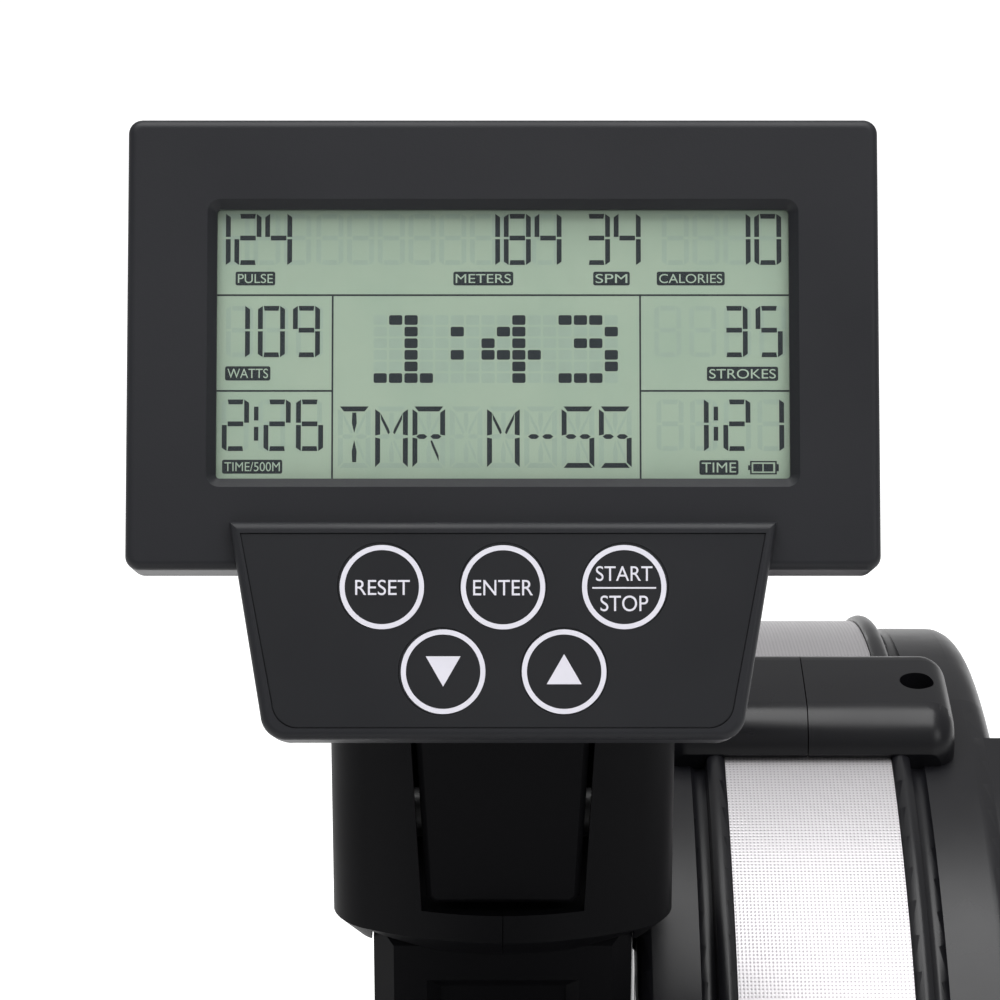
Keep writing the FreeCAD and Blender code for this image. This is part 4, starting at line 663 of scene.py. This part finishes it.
def display():
    """Everything the display shows, its frame lines, and the faint unlit segments behind."""
    lit = Display(5.03)
    for sides in FRAME_LINES:
        lit.bar(*sides)
    for text, right, top, pitch in NUMBERS:
        lit.number(text, right, top, pitch)
    lit.colon(-61.9, -13.6)
    lit.colon(53.4, -13.6)
    for column, *rows in CLOCK:
        lit.dots(DOTS_X + column * DOT_PITCH, DOTS_TOP, rows)
    for k, char in enumerate("TMR M-55"):
        lit.letter(LINE_X + k * LINE_PITCH, LINE_TOP, LETTERS[char])
    for _, x0, z0, x1, z1 in TAGS:
        lit.shape(round_rect(x0, z0, x1, z1, 0.5, 3))
    for sides in BATTERY:
        lit.bar(*sides)
    lit.build("display_segments", "segments")
    names = Parts()
    for text, x0, z0, x1, z1 in TAGS:
        lettering(names, text, x0 + 0.6, z0 + 0.6, x1 - 0.6, z1 - 0.6, 5.022)
    names.build("display_words", "tag_ink", "console", "lcd_glass")
    ghost = Display(5.04)
    for x, top, count, pitch in UNLIT:
        for k in range(count):
            ghost.digit(x + k * pitch, top, "8", DIGIT_WIDTH)
    for k in range(8):
        ghost.letter(LINE_X + k * LINE_PITCH, LINE_TOP, LETTERS["*"])
    ghost.dots(DOTS_X, DOTS_TOP, ["#" * 16] * 6)
    ghost.build("display_ghosts", "ghost")


# ---- keypad ---------------------------------------------------------------------------------------------


KEY_FACE = -4.225
KEYS = {
    "reset": (-30.0, -61.45, ("RESET", -6.6, -2.0, 6.9, 1.8)),
    "enter": (0.0, -61.5, ("ENTER", -7.4, -2.0, 7.4, 1.8)),
    "start_stop": (30.0, -61.45, ("START", -7.0, 1.5, 7.0, 5.2), ("STOP", -5.9, -6.0, 5.9, -2.1)),
    "down": (-14.8, -82.4),
    "up": (15.1, -82.4),
}
ARROWS = {"down": ((-4.3, 3.8), (4.3, 3.8), (0, -3.7)), "up": ((-4.3, -3.1), (4.3, -3.1), (0, 4.35))}


def key_ring(parts, x, z, outer=10.45, inner=9.2, steps=96):
    verts = []
    for radius in (outer, inner):
        for k in range(steps):
            angle = 2 * math.pi * k / steps
            verts.append(((x + radius * math.cos(angle)) * MM, KEY_FACE * MM,
                          (z + radius * math.sin(angle)) * MM))
    faces = [[k, (k + 1) % steps, steps + (k + 1) % steps, steps + k] for k in range(steps)]
    parts.add(verts, faces, CONSOLE)


def legends():
    """The white print on each key, whose colour is real and whose faint glow is painted light."""
    for key, (x, z, *words) in KEYS.items():
        parts = Parts()
        key_ring(parts, x, z)
        for text, x0, z0, x1, z1 in words:
            lettering(parts, text, x + x0, z + z0, x + x1, z + z1, KEY_FACE)
        if key == "start_stop":
            line = [(x - 7.9, z - 0.4), (x + 7.9, z - 0.4), (x + 7.9, z), (x - 7.9, z)]
            parts.add([(u * MM, KEY_FACE * MM, v * MM) for u, v in line], [[0, 1, 2, 3]], CONSOLE)
        if key in ARROWS:
            corners = [((x + u) * MM, KEY_FACE * MM, (z + v) * MM) for u, v in ARROWS[key]]
            parts.add(corners, [[0, 1, 2]], CONSOLE)
        # The key print carries the white ink's faint painted glow.
        parts.build(f"{key}_legend", "white_print", f"{key}_key", "overlay_film")


# ---- soft pieces ------------------------------------------------------------------------------------------


def fetch_mesh(node):
    """A copy of a CAD node's mesh in the row frame."""
    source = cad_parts[node]
    mesh = source.data.copy()
    mesh.transform(source.matrix_world)
    return mesh


def seat_pad():
    """The seat's cushion: swollen by cloth simulation, hollowed for the sit bones, with a sewn edge."""
    low, high = (Vector(v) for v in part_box("seat_pad"))
    centre = (low + high) / 2
    mesh = fetch_mesh("seat_pad")
    pad = bpy.data.objects.new("seat_cushion", mesh)
    bpy.context.scene.collection.objects.link(pad)
    for v in mesh.vertices:
        v.co.x = centre.x + (v.co.x - centre.x) * 0.975
        v.co.y = centre.y + (v.co.y - centre.y) * 0.965
        v.co.z = low.z + (v.co.z - low.z) * 0.86
    bpy.context.view_layer.objects.active = pad
    remesh = pad.modifiers.new("remesh", "REMESH")
    remesh.mode = "VOXEL"
    remesh.voxel_size = 0.005
    apply_modifiers(pad)
    rest = [v.co.copy() for v in pad.data.vertices]
    swell(pad, rest, 0.008, low.z + 0.004)
    for v in pad.data.vertices:
        shape_seat(v, low, high, centre)
    smooth = pad.modifiers.new("smooth", "SMOOTH")
    smooth.iterations = 6
    smooth.factor = 0.5
    subdivide = pad.modifiers.new("subdivide", "SUBSURF")
    subdivide.levels = subdivide.render_levels = 1
    apply_modifiers(pad)
    pad.data.materials.clear()
    pad.data.materials.append(LOOKS["vinyl"])
    for polygon in pad.data.polygons:
        polygon.use_smooth = True
    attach(pad, "seat")
    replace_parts(pad, "seat_pad")
    seat_edges(low, high, centre)


def swell(obj, rest, cap, floor):
    """Inflates the mesh with Blender's cloth solver and limits how far any point moves."""
    scene = bpy.context.scene
    cloth = obj.modifiers.new("cloth", "CLOTH")
    cloth.settings.use_pressure = True
    cloth.settings.uniform_pressure_force = 4
    cloth.settings.effector_weights.gravity = 0
    cloth.settings.quality = 5
    held = obj.vertex_groups.new(name="held")
    held.add([i for i, p in enumerate(rest) if p.z < floor], 1.0, "REPLACE")
    cloth.settings.vertex_group_mass = "held"
    scene.frame_start, scene.frame_end = 1, 20
    for step in range(1, 21):
        scene.frame_set(step)
    evaluated = obj.evaluated_get(bpy.context.evaluated_depsgraph_get())
    swollen = [v.co.copy() for v in evaluated.data.vertices]
    obj.modifiers.remove(cloth)
    for v, start, end in zip(obj.data.vertices, rest, swollen):
        move = end - start
        v.co = start + move * min(1.0, cap / max(move.length, 1e-9))
    scene.frame_set(1)


def shape_seat(v, low, high, centre):
    """Two sit-bone hollows, a centre channel that opens to the rear, and a soft roll at the front."""
    share = max(0.0, (v.co.z - low.z) / (high.z - low.z) - 0.45) / 0.55
    x, y = v.co.x - centre.x, v.co.y - centre.y
    for side in (-1, 1):
        near = ((x - side * 0.058) / 0.050) ** 2 + ((y + 0.012) / 0.060) ** 2
        v.co.z -= share * 0.0085 * math.exp(-near)
    channel = math.exp(-((x / 0.016) ** 2)) * (1 / (1 + math.exp((y - 0.005) / 0.018)))
    v.co.z -= share * 0.010 * channel
    v.co.z += share * 0.003 * math.exp(-(((y - 0.075) / 0.03) ** 2))


def seat_edges(low, high, centre):
    """The piping round the cushion's lower edge and the stitches above it."""
    outline = round_rect(low.x + 0.0035, low.y + 0.0035, high.x - 0.0035, high.y - 0.0035, 0.043, 14)
    narrow = [(centre.x + (x - centre.x) * (1 - 0.022 * (high.y - y) / (high.y - low.y)), y)
              for x, y in outline]
    piping = Parts()
    piping.tube([Vector((x, y, low.z + 0.006)) for x, y in narrow], 0.0026, 10, closed=True)
    piping.build("seat_piping", "vinyl", "seat", "seat_vinyl", smooth=True)
    stitches = Parts()
    count = len(narrow)
    for k in range(count):
        a, b = Vector((*narrow[k], low.z + 0.0118)), Vector((*narrow[(k + 1) % count], low.z + 0.0118))
        steps = max(1, round((b - a).length / 0.0055))
        for i in range(steps):
            start, end = a.lerp(b, (i + 0.2) / steps), a.lerp(b, (i + 0.8) / steps)
            out = Vector((start.x - centre.x, start.y - centre.y, 0)).normalized() * 0.0010
            stitches.tube([start + out, end + out], 0.0005, 6)
    stitches.build("seat_stitches", "thread", "seat", "seat_vinyl")


def apply_modifiers(obj):
    """Bakes every modifier into the mesh."""
    evaluated = obj.evaluated_get(bpy.context.evaluated_depsgraph_get())
    baked = bpy.data.meshes.new_from_object(evaluated)
    obj.modifiers.clear()
    old = obj.data
    obj.data = baked
    bpy.data.meshes.remove(old)


FOOT_X, PLATE, PLATE_TILT = 0.134, Vector((0, 0.501, 0.296)), math.radians(50)


def on_plate(side):
    """A foot plate's own frame: x across, y up the plate, z off its face."""
    return Matrix.Translation(PLATE + Vector((side * FOOT_X, 0, 0))) @ Matrix.Rotation(PLATE_TILT, 4, "X")


def foot_straps():
    """Woven straps over the feet, with a hook-and-loop overlap, a stitched box and a cam buckle each."""
    straps, buckles, threads = Parts(), Parts(), Parts()
    for side in (-1, 1):
        place = on_plate(side)
        across = (place.to_3x3() @ Vector((0, 1, 0))).normalized()
        line = [(-0.0465, -0.006), (-0.0462, 0.012)]
        line += [(-0.0455, 0.030)]
        line += [(0.0453 * math.cos(math.radians(a)), 0.030 + 0.0475 * math.sin(math.radians(a)))
                 for a in range(172, 7, -6)]
        line += [(0.0455, 0.030), (0.0462, 0.012), (0.0465, -0.006)]
        path = [place @ Vector((x, 0.008, z)) for x, z in line]
        straps.ribbon(path, across, 0.038, 0.0022)
        lap = [place @ Vector((x * 1.045, 0.008, 0.030 + (z - 0.030) * 1.05 + 0.0006)) for x, z in line[8:24]]
        straps.ribbon(lap, across, 0.036, 0.0020)
        shift = Matrix.Translation(Vector((0.0485, 0.008, 0.018)))
        frame_at = place @ shift @ Matrix.Rotation(math.radians(90), 4, "Y")
        buckles.slab(round_rect(-0.013, -0.023, 0.013, 0.023, 0.004), -0.0005, 0.0035, frame_at, 0.0008)
        for k in (-0.0135, 0.0135):
            a, b = place @ Vector((-0.030, 0.008 + k, 0.0763)), place @ Vector((-0.012, 0.008 + k, 0.0805))
            threads.tube([a, b], 0.0006, 6)
    whole = straps.build("woven_foot_straps", "strap", "frame", "webbing", smooth=False)
    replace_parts(whole, "foot_straps")
    buckles.build("strap_buckles", "knob", "frame", "footrest_plastic")
    threads.build("strap_threads", "thread", "frame", "webbing")


def pull_straps():
    """The strap from the handle into the case, its hidden run, and the turns wound on the spool."""
    low, high = (Vector(v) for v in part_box("pull_strap"))
    path = [Vector((0, low.y + (high.y - low.y) * k / 160, STRAP_Z)) for k in range(161)]
    strap = Parts()
    strap.ribbon(path, Vector((1, 0, 0)), high.x - low.x, 0.0015)
    woven = strap.build("woven_pull_strap", "strap", None, "webbing")
    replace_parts(woven, "pull_strap")
    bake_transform(woven)
    source = fetch_mesh("strap_run")
    ends = [v.co.copy() for v in source.vertices]
    bpy.data.meshes.remove(source)
    near, far = min(ends, key=lambda p: p.y), max(ends, key=lambda p: p.y)
    near, far = Vector((0, near.y, near.z)), Vector((0, far.y, far.z))
    run = Parts()
    run.ribbon([near.lerp(far, k / 40) for k in range(41)], Vector((1, 0, 0)), 0.0248, 0.0014)
    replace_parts(run.build("woven_strap_run", "strap", "frame", "webbing"), "strap_run")
    coil = Parts()
    turns, steps = 9, 72
    wound = []
    for k in range(turns * steps + 1):
        angle = 2 * math.pi * k / steps
        radius = 0.0272 + 0.0139 * k / (turns * steps)
        wound.append(AXLE + Vector((0, radius * math.sin(angle), radius * math.cos(angle))))
    coil.ribbon(wound, Vector((1, 0, 0)), 0.0246, 0.0013)
    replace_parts(coil.build("wound_strap", "strap", "spool", "webbing"), "strap_coil")


# ---- small fittings ---------------------------------------------------------------------------------------


UNDER_SCALE = (292.5, 337.5)
SCREW_CIRCLE = 0.233
RECESS = (0.033, -0.017, 0.2530)
CASE_SCREWS = ((0.700, 0.560), (0.838, 0.470), (0.868, 0.200), (0.996, 0.200), (1.030, 0.420), (0.880, 0.600))


def screws():
    """Socket-head screws on the drum, the drive case, the console's back and the frame."""
    button = [(0.0001, -0.0012), (0.0013, -0.0012), (0.0013, 0.0008), (0.0030, 0.0006), (0.0036, -0.0002),
              (0.0037, -0.0012)]
    cap = [(0.0001, -0.002), (0.0022, -0.002), (0.0022, 0.0042), (0.0042, 0.0042), (0.0048, 0.0034),
           (0.0048, -0.001)]
    placed = {
        "drum_screws": ("frame", [], button),
        "case_screws": ("frame", [], button),
        "console_screws": ("console", [], button),
        "frame_screws": ("frame", [], cap),
    }
    for k in range(8):
        turn = 22.5 + 45 * k
        angle = math.radians(turn)
        sides = [(DRUM_LEFT, -1)]
        if turn not in UNDER_SCALE:
            sides.append((DRUM_RIGHT, 1))
        for x, way in sides:
            spot = AXLE + Vector((x, SCREW_CIRCLE * math.sin(angle), SCREW_CIRCLE * math.cos(angle)))
            placed["drum_screws"][1].append((spot, (way, 0, 0)))
    for x in (-RECESS[0], RECESS[0]):
        placed["drum_screws"][1].append((AXLE + Vector((DRUM_X + x, *RECESS[1:])), (0, 0, 1)))
    for y, z in CASE_SCREWS:
        for way in (-1, 1):
            placed["case_screws"][1].append((Vector((way * CASE_HALF, y, z)), (way, 0, 0)))
    back = CONSOLE.to_3x3() @ Vector((0, 1, 0))
    for x, z in ((-0.074, 0.038), (0.074, 0.038), (-0.074, -0.038), (0.074, -0.038)):
        placed["console_screws"][1].append((CONSOLE @ Vector((x, 0.030, z)), back))
    for y in (0.435, 0.470):
        for way in (-1, 1):
            placed["frame_screws"][1].append((Vector((way * 0.040, y, 0.262)), (way, 0, 0)))
    for name, (body, spots, profile) in placed.items():
        parts = Parts()
        for spot, way in spots:
            parts.lathe(profile, facing(spot, way), 24, hexed=(0, 1, 2))
        parts.build(name, "dark_bolt" if name == "drum_screws" else "zinc", body, "steel_zinc")


def foot_pads():
    """Ribbed rubber treads on the foot plates."""
    parts = Parts()
    for side in (-1, 1):
        place = on_plate(side)
        for y in (-0.058, -0.048, -0.038):
            for x in (-0.034, 0.012):
                outline = round_rect(x, y + 0.102, x + 0.022, y + 0.106, 0.0015, 3)
                parts.slab(outline, 0.0, 0.0012, place, 0.0004)
    parts.build("foot_treads", "rubber", "frame", "rubber_black")


SCALE_FACE = DRUM_X + 0.06712
SCALE_START, SCALE_SPAN, SCALE_COUNT = 22, 38, 10
TICK_LOW, TICK_HIGH, TICK_HALF, NUMBER_RADIUS = 0.2095, 0.2155, 0.0006, 0.2225


def scale_marks():
    """Numbers and their ticks round the damper lever's slot."""
    ticks = Parts()
    for k in range(SCALE_COUNT):
        angle = math.radians(SCALE_START + SCALE_SPAN * k / (SCALE_COUNT - 1))
        out = Vector((0, -math.sin(angle), math.cos(angle)))
        side = Vector((0, math.cos(angle), math.sin(angle)))
        base = Vector((SCALE_FACE, AXLE.y, AXLE.z))
        ring = ((TICK_LOW, -TICK_HALF), (TICK_LOW, TICK_HALF), (TICK_HIGH, TICK_HALF),
                (TICK_HIGH, -TICK_HALF))
        ticks.add([base + out * r + side * s for r, s in ring], [[0, 1, 2, 3]])
        number_at(ticks, str(k + 1), base + out * NUMBER_RADIUS, side, out)
    # The scale's white print carries the same faint painted glow.
    ticks.build("damper_numbers", "white_print", "frame", "drum_abs")


def number_at(parts, text, centre, side, up, height=0.0062):
    """A number laid flat on the drum's outer face, about a centre and upright along up."""
    points, faces, corner, size = flat_text(text)
    scale = height / size[1]
    mx, my = corner[0] + size[0] / 2, corner[1] + size[1] / 2
    parts.add([centre + side * ((x - mx) * scale) + up * ((y - my) * scale) for x, y in points], faces)


# ---- stage, lights and camera -----------------------------------------------------------------------------


def stage():
    """A plain pale floor, soft lights, and the camera."""
    floor_finish = Finish("floor_finish", (0.90, 0.90, 0.90), 0.8, Specular_IOR_Level=0.1)
    floor_finish.vary_roughness(floor_finish.spread(floor_finish.noise(3, 3), 0.75, 0.85))
    floor_finish.shader.inputs["Emission Color"].default_value = (1, 1, 1, 1)
    floor_finish.shader.inputs["Emission Strength"].default_value = 0.55
    mesh = bpy.data.meshes.new("floor")
    reach = 12.0
    corners = [(-reach, -reach, 0), (reach, -reach, 0), (reach, reach, 0), (-reach, reach, 0)]
    mesh.from_pydata(corners, [], [(0, 1, 2, 3)])
    mesh.materials.append(floor_finish.material)
    floor = bpy.data.objects.new("floor", mesh)
    bpy.context.scene.collection.objects.link(floor)
    studio_sky()
    area("top_light", (0.0, 0.75, 2.9), (0.0, 0.75, 0.0), 2.2, 70)
    area("side_light", (1.9, -0.9, 2.0), (0.1, 0.9, 0.5), 1.0, 8)
    camera = bpy.data.cameras.new("camera")
    camera.sensor_width = 36
    camera.lens = 144
    camera.clip_start = 0.05
    camera.clip_end = 60
    holder = bpy.data.objects.new("camera", camera)
    bpy.context.scene.collection.objects.link(holder)
    holder.location = (-0.00075, -0.1329, 1.16824)
    holder.rotation_euler = (math.radians(68), 0, 0)
    bpy.context.scene.camera = holder
    bpy.context.scene.view_settings.view_transform = "Standard"
    bpy.context.scene.view_settings.exposure = 0.0


def studio_sky():
    """A weak pale surround, dim at the horizon and brighter overhead."""
    world = bpy.data.worlds.new("studio")
    bpy.context.scene.world = world
    world.use_nodes = True
    tree = world.node_tree
    background = tree.nodes["Background"]
    background.inputs["Color"].default_value = (1, 1, 1, 1)
    coords = tree.nodes.new("ShaderNodeTexCoord")
    split = tree.nodes.new("ShaderNodeSeparateXYZ")
    ramp = tree.nodes.new("ShaderNodeMapRange")
    ramp.inputs["From Min"].default_value = 0.0
    ramp.inputs["From Max"].default_value = 1.0
    ramp.inputs["To Min"].default_value = 0.24
    ramp.inputs["To Max"].default_value = 0.60
    tree.links.new(coords.outputs["Generated"], split.inputs[0])
    tree.links.new(split.outputs["Z"], ramp.inputs["Value"])
    tree.links.new(ramp.outputs["Result"], background.inputs["Strength"])


def area(name, location, target, size, power):
    light = bpy.data.lights.new(name, "AREA")
    light.size = size
    light.energy = power
    obj = bpy.data.objects.new(name, light)
    obj.location = location
    obj.rotation_euler = (Vector(target) - Vector(location)).to_track_quat("-Z", "Y").to_euler()
    bpy.context.scene.collection.objects.link(obj)


paint_nodes()
display()
legends()
seat_pad()
foot_straps()
pull_straps()
screws()
foot_pads()
scale_marks()
stage()
